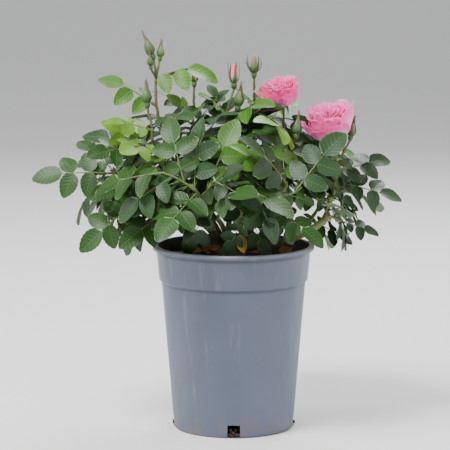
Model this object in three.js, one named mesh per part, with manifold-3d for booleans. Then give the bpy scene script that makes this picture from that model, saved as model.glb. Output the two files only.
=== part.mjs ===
// A rose bush in a four litre nursery pot: pot, potting mix, rootstock, canes and leafy shoots.
// Millimetres, +Z up. The origin is the middle of the pot's flat underside, and -Y is the side that shows.
import * as THREE from "three";
import { mergeVertices } from "three/addons/utils/BufferGeometryUtils.js";
import Module from "manifold-3d";

const wasm = await Module();
wasm.setup();

const CLEAR = 0.3;
const SLIVER = 0.005;

// The pot: a moulded tapering tub with a rolled lip, a stacking band below it and four notches at the foot.
const POT = {
  height: 217,
  footRadius: 70.5,
  footRound: 2,
  lipRadius: 95,
  lipHeight: 6,
  lipRound: 1.5,
  wall: 1.6,
  floor: 2.6,
  bandTopRadius: 90.5,
  bandFootRadius: 87.4,
  bodyTopRadius: 84.6,
  stepZ: 177,
  stepHeight: 3,
  notchWidth: 14.5,
  notchHeight: 15.5,
  notchDepth: 13,
  notches: 4,
  sides: 32,
};

// The potting mix fills the pot to a little under the rim and is heaped slightly to the middle.
const MIX = { surfaceZ: 198, heap: 4, heapRadius: 21 };

// The rootstock is the short knuckle at soil level that every cane grows from.
const ROOTSTOCK = {
  x: -4,
  y: 6,
  height: 20,
  flareRadius: 17,
  waistRadius: 11.5,
  knuckleRadius: 13.5,
  sides: 12,
};
const ROOTSTOCK_Z = MIX.surfaceZ + MIX.heap + CLEAR;
const CANE_ROOT = { height: 10, outward: 5 };

// Canes: where each ends, how far its middle bows off the straight line, and its radius at foot and end.
const CANES = {
  cane_left: { to: [-74, -8, 262], bow: [-4, 0, 12], radius: [3.6, 2.7] },
  cane_low_left: { to: [-62, -46, 250], bow: [0, -4, 12], radius: [3.2, 2.4] },
  cane_upright_left: { to: [-58, 22, 292], bow: [-10, 4, 6], radius: [3.8, 2.8] },
  cane_middle: { to: [-14, 8, 296], bow: [6, 0, 6], radius: [3.8, 2.9] },
  cane_upright_right: { to: [46, 14, 286], bow: [10, -4, 6], radius: [3.6, 2.7] },
  cane_cut: { to: [112, -30, 256.6], bow: [8, -8, -9], radius: [4.6, 4.0] },
  cane_front_left: { to: [-26, -58, 258], bow: [2, -6, 10], radius: [3.4, 2.5] },
  cane_front_right: { to: [34, -56, 256], bow: [4, -4, 10], radius: [3.4, 2.5] },
  cane_back_left: { to: [-46, 62, 268], bow: [-4, 6, 8], radius: [3.6, 2.6] },
  cane_back_right: { to: [44, 66, 266], bow: [4, 6, 8], radius: [3.6, 2.6] },
};

const SHOOT_RADIUS = [2.2, 1.5];
const STALK_RADIUS = [1.5, 1.3];
const FACETS = {
  cane: { sides: 6, steps: 5 },
  shoot: { sides: 4, steps: 3 },
  stalk: { sides: 3, steps: 1 },
  twig: { sides: 3, steps: 2 },
};

// A side twig: the stretch of the shoot that bears twigs, and the ways it leans as it sets off.
const TWIG = {
  length: 48,
  sizes: [0.8, 1.2],
  radius: [1.5, 1.2],
  bow: 3,
  first: 0.3,
  span: 0.5,
  turnEachTry: 1.1,
  rise: 0.5,
  onwards: 0.7,
  outward: 0.8,
};
const TWIG_PROBES = [0.35, 0.5, 0.65, 0.8, 1];
const GOLDEN_TURN = 2.4;

// A rose leaf: a stalk that bends down once and carries two pairs of leaflets and one at its end. Angles are
// in radians, and each stray is the span that chance may turn it by.
const LEAF = {
  stalk: 56,
  bend: 14,
  seat: 0.1,
  stalkRadius: 1.2,
  stalkTaper: 0.1,
  leafletLength: 38,
  leafletWidth: 25.5,
  sizes: [0.84, 1.08],
  leafletSizes: [0.92, 1.08],
  droop: 0.26,
  droopShares: [0.6, 1.4],
  angleStray: 0.1,
  lift: 0.1,
  liftStray: 0.3,
  tiltStray: 0.5,
};

// Lower pair, upper pair and end leaflet: size, angle off the stalk, distance along it and outline corners.
const LEAFLETS = [
  { share: 0.8, angle: 1.3, from: 20, corners: 4 },
  { share: 0.92, angle: 1.15, from: 43, corners: 6 },
  { share: 1.1, angle: 0, from: 56, corners: 6 },
];

// A blade's thickness over and under its midrib, where it is thickest, how its sides fold up and its tip
// curls down, and how deep its root sits in the stalk. Its probes stand for it when space is given out.
const BLADE = { top: 0.75, under: 0.55, thickestAt: 0.42, fold: 0.07, curl: 0.07, sunk: 0.45 };
const BLADE_PROBES = [[0.3, 0], [0.62, 0], [0.95, 0], [0.35, 0.36], [0.35, -0.36], [0.68, 0.3], [0.68, -0.3]];

// How leaves that fill in set off and face. Each pair gives the value high in the crown and low in it.
const HABIT = {
  tries: 14,
  spacing: 15,
  leafyShare: 0.9,
  turnEachTry: 0.9,
  turnStray: 0.5,
  outward: 0.55,
  onwards: 0.35,
  upwards: 0.35,
  hang: 0.5,
  stray: 0.3,
  faceUp: [1.05, 0.5],
  faceOut: [0.25, 0.85],
  faceFront: 0.12,
  faceStray: 0.5,
  highZ: 370,
  lowZ: 240,
};

const BUD = { radius: 6, middle: 12, sides: 5 };
const BLOOM = { radius: 26, middle: 12, sides: 12, waves: 3, waveHeight: 2.2, wavyAbove: 14 };

// How far leaves keep from other shoots' leaves, from leaves of their own shoot, from limbs, flowers and the
// pot, and how low they hang beside the pot and in front of it.
const ROOM = {
  others: 7.5,
  own: 5.6,
  limbs: 2.5,
  flowers: 8,
  placed: 0.5,
  axil: 16,
  overRim: 5,
  outside: 4,
  lowest: 206,
  lowestInFront: 230,
  frontY: -57,
  probeStep: 5,
};

// The crown is a low dome that only the leaves placed by hand reach out of.
const CROWN = { centre: [4, 8, 262], reach: [192, 182, 146] };

// Where the seeds of twigs, placed leaves and leaf slots start, and their steps from one to the next.
const SEEDS = {
  twig: 1000,
  placed: 5000,
  shootStep: 20,
  slot: 13,
  slotsOfShoot: 1009,
  slotsOfStem: 101,
  slotStep: 7,
};

// Each shoot is one mass: the cane it grows from and how far along it, its tip and bow, how many side twigs it
// bears, the leaves that shape the outline, each with its place on the shoot, its tip and the way it faces, and
// its flowers.
const SHOOTS = {
  shoot_left: {
    cane: "cane_left", at: 1, tip: [-148, -16, 303], bow: [4, 2, 12], twigs: 1,
    leaves: [
      { at: 1, tip: [-235.5, -20, 299], faces: [-0.1, -0.8, 0.6] },
      { at: 0.88, tip: [-184, 34, 337], faces: [-0.3, -0.5, 0.8] },
      { at: 0.5, tip: [-165, -62, 280], faces: [-0.2, -0.9, 0.45] },
    ],
  },
  shoot_upper_left: {
    cane: "cane_upright_left", at: 0.7, tip: [-112, -8, 334], bow: [-4, -6, 8], twigs: 1,
    leaves: [
      { at: 1, tip: [-170, -44, 326], faces: [-0.1, -0.8, 0.6] },
      { at: 0.82, tip: [-178, 6, 347], faces: [-0.2, -0.6, 0.8] },
    ],
  },
  shoot_low_left: {
    cane: "cane_low_left", at: 1, tip: [-116, -52, 270], bow: [0, -2, 8], twigs: 1,
    leaves: [
      { at: 1, tip: [-178, -66, 219], faces: [-0.2, -0.95, 0.3] },
      { at: 0.3, tip: [-130, -100, 228], faces: [-0.1, -0.9, 0.4] },
    ],
  },
  shoot_top_left: {
    cane: "cane_upright_left", at: 1, tip: [-90.4, 0, 412.8], bow: [-10, -12, 0], twigs: 0,
    leaves: [
      { at: 0.72, tip: [-158.7, -6, 413], faces: [-0.1, -0.5, 0.85], droop: 0.5 },
      { at: 0.95, tip: [-16.5, -20, 413], faces: [0.1, -0.45, 0.85], droop: 0.7 },
      { at: 0.6, tip: [-46, -56, 372], faces: [0.1, -0.6, 0.8] },
    ],
    flowers: [
      { kind: "bud", base: [-97, 0, 439], axis: [-0.45, 0, 0.9], size: 1.05 },
      { kind: "bud", base: [-88.5, 0, 436.5], axis: [0.14, 0.05, 1], size: 0.75 },
      { kind: "bud", base: [-101, -8, 424.5], axis: [-0.08, -0.1, 1], size: 0.6 },
    ],
  },
  shoot_side_left: {
    cane: "cane_upright_left", at: 0.9, tip: [-94, -22, 356], bow: [-12, -12, 0], twigs: 0,
    leaves: [
      { at: 0.97, tip: [-150, -40, 366], faces: [-0.1, -0.5, 0.85] },
      { at: 0.75, tip: [-128, -84, 336], faces: [-0.1, -0.8, 0.6] },
    ],
    flowers: [{ kind: "bud", base: [-99.6, -25, 381], axis: [-0.06, 0, 1], size: 0.95 }],
  },
  shoot_middle: {
    cane: "cane_middle", at: 1, tip: [-9, 0, 370], bow: [4, 0, 0], twigs: 1,
    leaves: [
      { at: 1, tip: [-40, -40, 398], faces: [-0.1, -0.55, 0.85] },
      { at: 0.94, tip: [46, -50, 388], faces: [0.05, -0.5, 0.9], droop: 0.4 },
    ],
    flowers: [
      { kind: "bud", base: [0.4, 0, 401], axis: [0, 0, 1], size: 1.0 },
      { kind: "bud", base: [4, -24, 377], axis: [0.15, -0.05, 1], size: 1.0 },
    ],
  },
  shoot_middle_left: {
    cane: "cane_middle", at: 0.6, tip: [-47, 24, 372], bow: [-12, 6, -4], twigs: 1,
    leaves: [
      { at: 0.97, tip: [-98, 30, 398], faces: [-0.1, -0.3, 0.95] },
      { at: 0.85, tip: [-6, 40, 398], faces: [0.1, -0.3, 0.9] },
    ],
    flowers: [{ kind: "bud", base: [-46.3, 24, 401], axis: [0, 0, 1], size: 0.9 }],
  },
  shoot_middle_back: {
    cane: "cane_middle", at: 0.7, tip: [24, 26, 384], bow: [4, 10, -4], twigs: 1,
    leaves: [
      { at: 0.95, tip: [58, 84, 384], faces: [0.2, 0.4, 0.9] },
      { at: 0.85, tip: [78, 34, 382], faces: [0.3, -0.3, 0.9] },
    ],
    flowers: [{ kind: "bud", base: [23.9, 20, 412], axis: [0, 0, 1], size: 0.95 }],
  },
  shoot_bloom_left: {
    cane: "cane_upright_right", at: 1, tip: [59, 0, 322], bow: [4, 0, 0], twigs: 1,
    flowers: [
      { kind: "bloom", base: [58.5, 0, 379], axis: [-0.22, -0.2, 1], size: 0.8 },
      { kind: "bud", base: [72, -28, 345], axis: [0.1, 0, 1], size: 0.95 },
    ],
  },
  shoot_bloom_right: {
    cane: "cane_cut", at: 0.86, tip: [119, -9, 308], bow: [6, 2, 0], twigs: 0,
    leaves: [
      { at: 1, tip: [69, -34, 332], faces: [0, -0.6, 0.8] },
      { at: 0.92, tip: [186, 16, 317], faces: [0.2, -0.55, 0.8] },
      { at: 0.8, tip: [150, 66, 318], faces: [0.3, 0.3, 0.85] },
    ],
    flowers: [
      { kind: "bloom", base: [117, -14, 341], axis: [-0.2, -0.22, 1], size: 1.02 },
      { kind: "bud", base: [135.8, 0, 340], axis: [0.2, 0, 1], size: 0.85 },
    ],
  },
  shoot_right: {
    cane: "cane_cut", at: 0.62, tip: [130, 4, 288], bow: [2, 8, 8], twigs: 1,
    leaves: [
      { at: 1, tip: [198.5, 0, 271], faces: [0.2, -0.7, 0.7] },
    ],
  },
  shoot_low_right: {
    cane: "cane_cut", at: 0.93, tip: [124, -28, 248], bow: [0, -2, 4], twigs: 0,
    leaves: [{ at: 1, tip: [170, -24, 232], faces: [0.2, -0.6, 0.8] }],
  },
  shoot_front_left: {
    cane: "cane_front_left", at: 1, tip: [-48, -90, 298], bow: [0, -8, 4], twigs: 2,
    leaves: [{ at: 0.2, tip: [-56, -56, 212], faces: [-0.2, -0.95, 0.1] }],
  },
  shoot_front: {
    cane: "cane_front_left", at: 0.78, tip: [-4, -80, 322], bow: [8, -8, 0], twigs: 2,
  },
  shoot_front_right: {
    cane: "cane_front_right", at: 1, tip: [60, -86, 298], bow: [4, -8, 6], twigs: 2,
    leaves: [{ at: 0.2, tip: [70, -62, 226], faces: [0.1, -0.95, 0.3] }],
  },
  shoot_low_front: {
    cane: "cane_front_right", at: 0.7, tip: [10, -56, 252], bow: [0, -2, 4], twigs: 0,
    leaves: [
      { at: 1, tip: [-12, -66, 213], faces: [0, -0.95, 0.3] },
      { at: 0.5, tip: [40, -68, 213], faces: [0.1, -0.95, 0.3] },
    ],
  },
  shoot_back_left: {
    cane: "cane_back_left", at: 1, tip: [-92, 98, 308], bow: [-2, 6, 8], twigs: 2,
    leaves: [{ at: 1, tip: [-146, 136, 290], faces: [-0.4, 0.6, 0.7] }],
  },
  shoot_back: {
    cane: "cane_back_left", at: 0.75, tip: [-12, 88, 340], bow: [0, 8, 4], twigs: 2,
    leaves: [{ at: 1, tip: [-24, 156, 330], faces: [-0.1, 0.8, 0.7] }],
  },
  shoot_back_right: {
    cane: "cane_back_right", at: 1, tip: [82, 98, 312], bow: [4, 6, 6], twigs: 2,
    leaves: [{ at: 1, tip: [132, 142, 292], faces: [0.4, 0.6, 0.7] }],
  },
  shoot_low_back: {
    cane: "cane_back_right", at: 0.8, tip: [26, 116, 272], bow: [0, 6, 8], twigs: 2,
    leaves: [{ at: 1, tip: [36, 188, 244], faces: [0.1, 0.9, 0.5] }],
  },
};

const COLOURS = {
  pot: { color: 0x7d858f, roughness: 0.45, metalness: 0 },
  mix: { color: 0x2b211b, roughness: 0.95, metalness: 0 },
  cane: { color: 0x6d7a3c, roughness: 0.6, metalness: 0 },
  leaf: { color: 0x47733f, roughness: 0.5, metalness: 0 },
};

const UP = new THREE.Vector3(0, 0, 1);
const STEEP = 0.9;
const vector = (a) => new THREE.Vector3(...a);
const along = (p, direction, distance) => p.clone().addScaledVector(direction, distance);
const chance = (random, span) => span * (random() - 0.5);
const between = (random, [low, high]) => low + (high - low) * random();

// A direction square to a stem, level where the stem isn't steep.
function sideOf(stem) {
  const other = Math.abs(stem.z) < STEEP ? UP : new THREE.Vector3(1, 0, 0);
  return new THREE.Vector3().crossVectors(stem, other).normalize();
}

// A small seeded generator, so that the bush grows the same way each time.
function seeded(seed) {
  let state = Math.imul(seed, 2654435761) >>> 0;
  const next = () => {
    state = (Math.imul(state, 1664525) + 1013904223) >>> 0;
    return state / 4294967296;
  };
  next();
  next();
  return next;
}

// A closed geometry as a solid that can be joined and cut.
function solidOf(geometry) {
  const bare = geometry.index ? geometry.toNonIndexed() : geometry.clone();
  bare.deleteAttribute("normal");
  bare.deleteAttribute("uv");
  const merged = mergeVertices(bare, 1e-4);
  return new wasm.Manifold(new wasm.Mesh({
    numProp: 3,
    vertProperties: new Float32Array(merged.attributes.position.array),
    triVerts: new Uint32Array(merged.index.array),
  }));
}

// A solid from its corner points and its triangles.
function facetedSolid(points, faces) {
  const geometry = new THREE.BufferGeometry();
  geometry.setAttribute("position", new THREE.Float32BufferAttribute(points.flat(), 3));
  geometry.setIndex(faces);
  return solidOf(geometry);
}

// The largest piece of a solid, without loose scraps and without the slivers that joining leaves.
function wholePiece(solid) {
  return solid.decompose().sort((a, b) => b.volume() - a.volume())[0].simplify(SLIVER);
}

function meshOf(name, solid, colour) {
  const { numProp, numVert, vertProperties, triVerts } = solid.getMesh();
  const positions = new Float32Array(numVert * 3);
  for (let i = 0; i < numVert; i++) {
    positions.set(vertProperties.subarray(i * numProp, i * numProp + 3), i * 3);
  }
  const geometry = new THREE.BufferGeometry();
  geometry.setAttribute("position", new THREE.BufferAttribute(positions, 3));
  geometry.setIndex(new THREE.BufferAttribute(new Uint32Array(triVerts), 1));
  geometry.computeVertexNormals();
  const mesh = new THREE.Mesh(geometry, new THREE.MeshStandardMaterial(COLOURS[colour]));
  mesh.name = name;
  return mesh;
}

// A solid of revolution about +Z, from a profile of [radius, height] points that starts and ends on the axis.
function turned(profile, sides) {
  const points = profile.map(([radius, height]) => new THREE.Vector2(radius, height));
  return solidOf(new THREE.LatheGeometry(points, sides).rotateX(Math.PI / 2));
}

// A curve from a to b whose middle is drawn off the straight line by bow.
function bowed(a, b, bow) {
  const control = a.clone().add(b).multiplyScalar(0.5).addScaledVector(bow, 2);
  return new THREE.QuadraticBezierCurve3(a.clone(), control, b.clone());
}

// A tapering limb along a curve: a cylinder whose rings are carried to the curve.
function limb(curve, [startRadius, endRadius], { sides, steps }) {
  const geometry = new THREE.CylinderGeometry(endRadius, startRadius, 1, sides, steps);
  const position = geometry.attributes.position;
  const start = curve.getTangent(0);
  const seedSide = Math.abs(start.z) < STEEP ? UP : new THREE.Vector3(1, 0, 0);
  for (let i = 0; i < position.count; i++) {
    const t = THREE.MathUtils.clamp(position.getY(i) + 0.5, 0, 1);
    const tangent = curve.getTangent(t);
    const side = new THREE.Vector3().crossVectors(seedSide, tangent).normalize();
    const other = new THREE.Vector3().crossVectors(tangent, side);
    const p = curve.getPoint(t);
    p.addScaledVector(side, position.getZ(i)).addScaledVector(other, position.getX(i));
    position.setXYZ(i, p.x, p.y, p.z);
  }
  return solidOf(geometry);
}

// The same limb with a clearance all round it and past both ends.
function limbWithClearance(curve, radii, facets) {
  const start = along(curve.v0, curve.getTangent(0), -CLEAR);
  const end = along(curve.v2, curve.getTangent(1), CLEAR);
  return limb(new THREE.QuadraticBezierCurve3(start, curve.v1, end), radii.map((r) => r + CLEAR), facets);
}

function makePot() {
  const lipFoot = POT.height - POT.lipHeight;
  const shoulder = POT.stepZ - POT.stepHeight;
  const shell = turned([
    [0, 0],
    [POT.footRadius - POT.footRound, 0],
    [POT.footRadius, POT.footRound],
    [POT.bodyTopRadius, shoulder],
    [POT.bandFootRadius, POT.stepZ],
    [POT.bandTopRadius, lipFoot],
    [POT.lipRadius, lipFoot + POT.lipRound],
    [POT.lipRadius, POT.height - POT.lipRound],
    [POT.lipRadius - POT.lipRound, POT.height],
    [POT.bandTopRadius - POT.wall, POT.height],
    [POT.bandFootRadius - POT.wall, POT.stepZ],
    [POT.bodyTopRadius - POT.wall, shoulder],
    [POT.footRadius - POT.wall, POT.floor],
    [0, POT.floor],
  ], POT.sides);
  const cutters = Array.from({ length: POT.notches }, (_, i) => {
    const box = new THREE.BoxGeometry(POT.notchWidth, POT.notchDepth * 2, POT.notchHeight * 2);
    box.translate(0, -POT.footRadius, 0);
    box.rotateZ((i * 2 * Math.PI) / POT.notches);
    return solidOf(box);
  });
  return cutters.reduce((pot, cutter) => pot.subtract(cutter), shell);
}

// The mix follows the pot's inner wall, facet for facet, and is heaped round the rootstock.
function makeMix() {
  const rise = (MIX.surfaceZ - POT.stepZ) / (POT.height - POT.stepZ);
  const edge = POT.bandFootRadius + (POT.bandTopRadius - POT.bandFootRadius) * rise;
  const inside = POT.wall + CLEAR;
  return turned([
    [0, POT.floor + CLEAR],
    [POT.footRadius - inside, POT.floor + CLEAR],
    [POT.bodyTopRadius - inside, POT.stepZ - POT.stepHeight],
    [edge - inside, MIX.surfaceZ],
    [MIX.heapRadius, MIX.surfaceZ + MIX.heap],
    [0, MIX.surfaceZ + MIX.heap],
  ], POT.sides);
}

function makeRootstock(clear = 0) {
  const { x, y, height, flareRadius, waistRadius, knuckleRadius, sides } = ROOTSTOCK;
  return turned([
    [0, 0],
    [flareRadius + clear, 0],
    [waistRadius + 1 + clear, height * 0.3],
    [waistRadius + clear, height * 0.5],
    [knuckleRadius + clear, height * 0.75],
    [knuckleRadius * 0.75 + clear, height + clear],
    [0, height + clear],
  ], sides).translate([x, y, ROOTSTOCK_Z]);
}

// A cane sets off inside the rootstock, a little to the side that it leans to, and is cut clear of it later.
function caneCurve({ to, bow }) {
  const root = new THREE.Vector3(ROOTSTOCK.x, ROOTSTOCK.y, ROOTSTOCK_Z + CANE_ROOT.height);
  const lean = vector(to).sub(root).setZ(0).normalize();
  return bowed(along(root, lean, CANE_ROOT.outward), vector(to), vector(bow));
}

const caneCurves = Object.fromEntries(Object.entries(CANES).map(([name, cane]) => [name, caneCurve(cane)]));

// The space that is taken so far: points with the radius that must stay free round them, the mass that they
// belong to and which of its leaves, or that they are on a stem.
const NO_LEAF = -1;
const STEM = -2;
const taken = [];
const take = (point, radius, owner, leaf = NO_LEAF) => taken.push({ point, radius, owner, leaf });

function takeAlong(curve, [startRadius, endRadius], owner) {
  const steps = Math.ceil(curve.getLength() / ROOM.probeStep);
  for (let i = 0; i <= steps; i++) {
    const t = i / steps;
    take(curve.getPoint(t), ROOM.limbs + startRadius + (endRadius - startRadius) * t, owner, STEM);
  }
}

// Whether a leaf may be here: clear of the pot, and inside the crown's dome unless placed by hand.
function inCrown(p, placed) {
  const radius = Math.hypot(p.x, p.y);
  const overMix = radius < POT.bandTopRadius - ROOM.outside && p.z > MIX.surfaceZ + MIX.heap + ROOM.overRim;
  const inPot = p.z < POT.height + ROOM.overRim && radius < POT.lipRadius + ROOM.outside && !overMix;
  if (inPot) return false;
  if (placed) return true;
  const inFront = p.y < ROOM.frontY && Math.abs(p.x) < POT.lipRadius;
  if (p.z < (inFront ? ROOM.lowestInFront : ROOM.lowest)) return false;
  const [x, y, z] = ["x", "y", "z"].map((axis, i) => (p[axis] - CROWN.centre[i]) / CROWN.reach[i]);
  return x * x + y * y + z * z < 1;
}

// Points of one leaf against everything that is taken: its own stem counts only away from the leaf's root.
function isFree(points, owner, leaf, root, placed = false) {
  return points.every((p) => inCrown(p, placed) && taken.every((other) => {
    if (other.owner === owner && other.leaf === leaf) return true;
    const distance = p.distanceTo(other.point) / (placed ? ROOM.placed : 1);
    if (other.leaf === STEM) {
      return distance > other.radius || (other.owner === owner && (placed || p.distanceTo(root) < ROOM.axil));
    }
    return distance > (other.owner === owner ? ROOM.own : other.radius);
  }));
}

// One leaflet's frame and the points that stand for its blade.
function leaflet(root, direction, faces, share) {
  const normal = faces.clone().addScaledVector(direction, -faces.dot(direction)).normalize();
  const side = new THREE.Vector3().crossVectors(normal, direction);
  const length = LEAF.leafletLength * share;
  const width = LEAF.leafletWidth * share;
  const points = BLADE_PROBES.map(([u, v]) => along(along(root, direction, u * length), side, v * width));
  return { root, direction, normal, side, length, width, points };
}

// A whole leaf from its root, setting off along direction, its upper side turned towards faces.
function layOutLeaf(root, direction, faces, scale, random, droop = LEAF.droop) {
  const side = new THREE.Vector3().crossVectors(faces, direction).normalize();
  const bend = along(root, direction, LEAF.bend * scale);
  const stalk = direction.clone().applyAxisAngle(side, droop * between(random, LEAF.droopShares));
  const normal = new THREE.Vector3().crossVectors(stalk, side).normalize();
  const end = along(bend, stalk, (LEAF.stalk - LEAF.bend) * scale);
  const blades = LEAFLETS.flatMap(({ share, angle, from, corners }) => {
    const joint = along(bend, stalk, (from - LEAF.bend) * scale);
    return (angle ? [1, -1] : [0]).map((hand) => {
      const out = stalk.clone().applyAxisAngle(normal, hand * angle + chance(random, LEAF.angleStray));
      out.addScaledVector(normal, LEAF.lift - droop + chance(random, LEAF.liftStray)).normalize();
      const tilted = normal.clone().addScaledVector(side, chance(random, LEAF.tiltStray));
      const start = along(joint, side, hand * LEAF.seat);
      return { ...leaflet(start, out, tilted, share * scale * between(random, LEAF.leafletSizes)), corners };
    });
  });
  const points = [...blades.flatMap((blade) => blade.points), bend, end];
  return { joints: [root, bend, end], normal, side, blades, points };
}

// The level direction away from the rootstock.
function outwardAt(p) {
  return new THREE.Vector3(p.x - ROOTSTOCK.x, p.y - ROOTSTOCK.y, 0).normalize();
}

// A leaf tries one way after the other round its stem. It faces up high in the crown, outwards lower down.
function growLeaf(mass, { curve, t, turn, seed }) {
  const root = curve.getPoint(t);
  const stem = curve.getTangent(t);
  const side = sideOf(stem);
  const random = seeded(seed);
  const outward = outwardAt(root);
  const low = THREE.MathUtils.clamp((HABIT.highZ - root.z) / (HABIT.highZ - HABIT.lowZ), 0, 1);
  for (let attempt = 0; attempt < HABIT.tries; attempt++) {
    const spin = turn + attempt * HABIT.turnEachTry + HABIT.turnStray * random();
    const reach = side.clone().applyAxisAngle(stem, spin);
    reach.addScaledVector(outward, HABIT.outward).addScaledVector(stem, HABIT.onwards);
    reach.z += HABIT.upwards - HABIT.hang * low + chance(random, HABIT.stray);
    reach.normalize();
    const faces = outward.clone().multiplyScalar(THREE.MathUtils.lerp(...HABIT.faceOut, low));
    faces.x += chance(random, HABIT.faceStray);
    faces.y += chance(random, HABIT.faceStray) - HABIT.faceFront;
    faces.z += THREE.MathUtils.lerp(...HABIT.faceUp, low);
    if (keepLeaf(mass, layOutLeaf(root, reach, faces, between(random, LEAF.sizes), random))) return;
  }
}

function keepLeaf(mass, leaf, placed) {
  const index = mass.leaves.length;
  if (!isFree(leaf.points, mass.name, index, leaf.joints[0], placed)) return false;
  leaf.points.forEach((p) => take(p, ROOM.others, mass.name, index));
  mass.leaves.push(leaf);
  return true;
}

// A leaf placed by hand is laid out once as a trial, then turned and sized so that its end comes to its tip.
function growPlacedLeaf(mass, { at, tip, faces, droop }, seed) {
  const root = mass.curve.getPoint(at);
  const goal = vector(tip).sub(root);
  const facing = vector(faces).normalize();
  const trial = layOutLeaf(root, goal.clone().normalize(), facing, 1, seeded(seed), droop);
  const last = trial.blades.at(-1);
  const reached = along(last.root, last.direction, last.length).sub(root);
  const scale = goal.length() / reached.length();
  const turn = new THREE.Quaternion().setFromUnitVectors(reached.normalize(), goal.normalize());
  const direction = goal.applyQuaternion(turn);
  const leaf = layOutLeaf(root, direction, facing.applyQuaternion(turn), scale, seeded(seed), droop);
  if (!keepLeaf(mass, leaf, true)) throw new Error(`no room for the leaf of ${mass.name} at ${tip}`);
}

function growTwig(mass, index, seed) {
  const random = seeded(seed);
  const t = TWIG.first + (TWIG.span * (index + 0.5)) / mass.plan.twigs;
  const root = mass.curve.getPoint(t);
  const stem = mass.curve.getTangent(t);
  const outward = outwardAt(root);
  for (let attempt = 0; attempt < HABIT.tries; attempt++) {
    const spin = index * GOLDEN_TURN + attempt * TWIG.turnEachTry + random();
    const away = new THREE.Vector3(Math.cos(spin), Math.sin(spin), TWIG.rise * random());
    away.addScaledVector(stem, TWIG.onwards).addScaledVector(outward, TWIG.outward).normalize();
    const end = along(root, away, TWIG.length * between(random, TWIG.sizes));
    const curve = bowed(root, end, vector([0, 0, TWIG.bow]));
    const probes = TWIG_PROBES.map((u) => curve.getPoint(u));
    if (!isFree(probes, mass.name, NO_LEAF, root)) continue;
    mass.twigs.push(curve);
    takeAlong(curve, [TWIG.radius[0], TWIG.radius[0]], mass.name);
    return;
  }
}

// A shoot with its stem and its flowers' stalks, whose space is taken before any leaf grows.
function layOutShoot([name, plan]) {
  const root = caneCurves[plan.cane].getPoint(plan.at);
  const curve = bowed(root, vector(plan.tip), vector(plan.bow));
  takeAlong(curve, SHOOT_RADIUS, name);
  const stalks = (plan.flowers ?? []).map((flower) => {
    const base = vector(flower.base);
    const axis = vector(flower.axis).normalize();
    const stalk = bowed(curve.v2, base, vector([0, 0, 0]));
    const { radius, middle } = flower.kind === "bloom" ? BLOOM : BUD;
    takeAlong(stalk, STALK_RADIUS, name);
    take(along(base, axis, middle * flower.size), radius * flower.size + ROOM.flowers, "flower");
    return { ...flower, base, axis, curve: stalk };
  });
  return { name, plan, curve, stalks, twigs: [], leaves: [], solids: [] };
}

// The places along a shoot's stem and twigs where a leaf may grow, from the tip down.
function leafSlots(mass, number) {
  return [mass.curve, ...mass.twigs].flatMap((curve, stem) => {
    const count = Math.floor(curve.getLength() / HABIT.spacing);
    return Array.from({ length: count }, (_, i) => ({
      curve,
      t: 1 - (i / count) * HABIT.leafyShare,
      turn: i * GOLDEN_TURN,
      seed: SEEDS.slot + number * SEEDS.slotsOfShoot + stem * SEEDS.slotsOfStem + i * SEEDS.slotStep,
    }));
  });
}

// First every stem and flower takes its space, then the placed leaves, then the twigs. Then leaves fill in, one
// round at a time so that no shoot crowds out the others.
function growBush() {
  Object.entries(CANES).forEach(([name, cane]) => takeAlong(caneCurves[name], cane.radius, name));
  const shoots = Object.entries(SHOOTS).map(layOutShoot);
  shoots.forEach((mass, number) => (mass.plan.leaves ?? []).forEach(
    (leaf, i) => growPlacedLeaf(mass, leaf, SEEDS.placed + number * SEEDS.shootStep + i)));
  shoots.forEach((mass, number) => {
    for (let i = 0; i < mass.plan.twigs; i++) growTwig(mass, i, SEEDS.twig + number * SEEDS.shootStep + i);
  });
  const slots = shoots.map(leafSlots);
  const rounds = Math.max(...slots.map((list) => list.length));
  for (let round = 0; round < rounds; round++) {
    shoots.forEach((mass, i) => {
      if (slots[i][round]) growLeaf(mass, slots[i][round]);
    });
  }
  return shoots;
}

// Half outlines of a leaflet, as shares of its length and width, and how far each corner is folded up.
const HALF_OUTLINES = {
  4: [[0.4, 0.5, 1]],
  6: [[0.24, 0.45, 1], [0.66, 0.42, 0.6]],
};

// A leaflet as a thin folded lens: its outline, with one point above and one below its midrib.
function bladeSolid({ root, direction, normal, side, length, width, corners }, clear = 0) {
  const at = (u, v, w) => along(along(along(root, direction, u), side, v), normal, w).toArray();
  const half = (hand) => HALF_OUTLINES[corners].map(
    ([u, v, fold]) => at(u * length, hand * (v * width + clear), fold * BLADE.fold * width));
  const outline = [
    at(-BLADE.sunk, 0, 0),
    ...half(1),
    at(length + clear, 0, -BLADE.curl * length),
    ...half(-1).reverse(),
  ];
  const [over, under] = [outline.length, outline.length + 1];
  const thickest = BLADE.thickestAt * length;
  const points = [...outline, at(thickest, 0, BLADE.top + clear), at(thickest, 0, -BLADE.under - clear)];
  const faces = outline.flatMap((_, i) => {
    const next = (i + 1) % outline.length;
    return [next, i, over, i, next, under];
  });
  return facetedSolid(points, faces);
}

// The leaf's stalk is a three-sided rod with one edge up, so that each leaflet leaves it through a flat side.
function stalkSolid({ joints, normal, side }, clear = 0) {
  const points = joints.flatMap((joint, ring) => {
    const radius = LEAF.stalkRadius * (1 + LEAF.stalkTaper * (1 - ring)) + clear;
    return [90, 210, 330].map((degrees) => {
      const angle = THREE.MathUtils.degToRad(degrees);
      return along(along(joint, side, Math.cos(angle) * radius), normal, Math.sin(angle) * radius).toArray();
    });
  });
  const faces = [0, 2, 1, 6, 7, 8];
  [0, 3].forEach((ring) => [0, 1, 2].forEach((i) => {
    const [a, b] = [ring + i, ring + (i + 1) % 3];
    faces.push(a, b, b + 3, a, b + 3, a + 3);
  }));
  return facetedSolid(points, faces);
}

function leafSolids(leaf, clear = 0) {
  return [stalkSolid(leaf, clear), ...leaf.blades.map((blade) => bladeSolid(blade, clear))];
}

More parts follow.
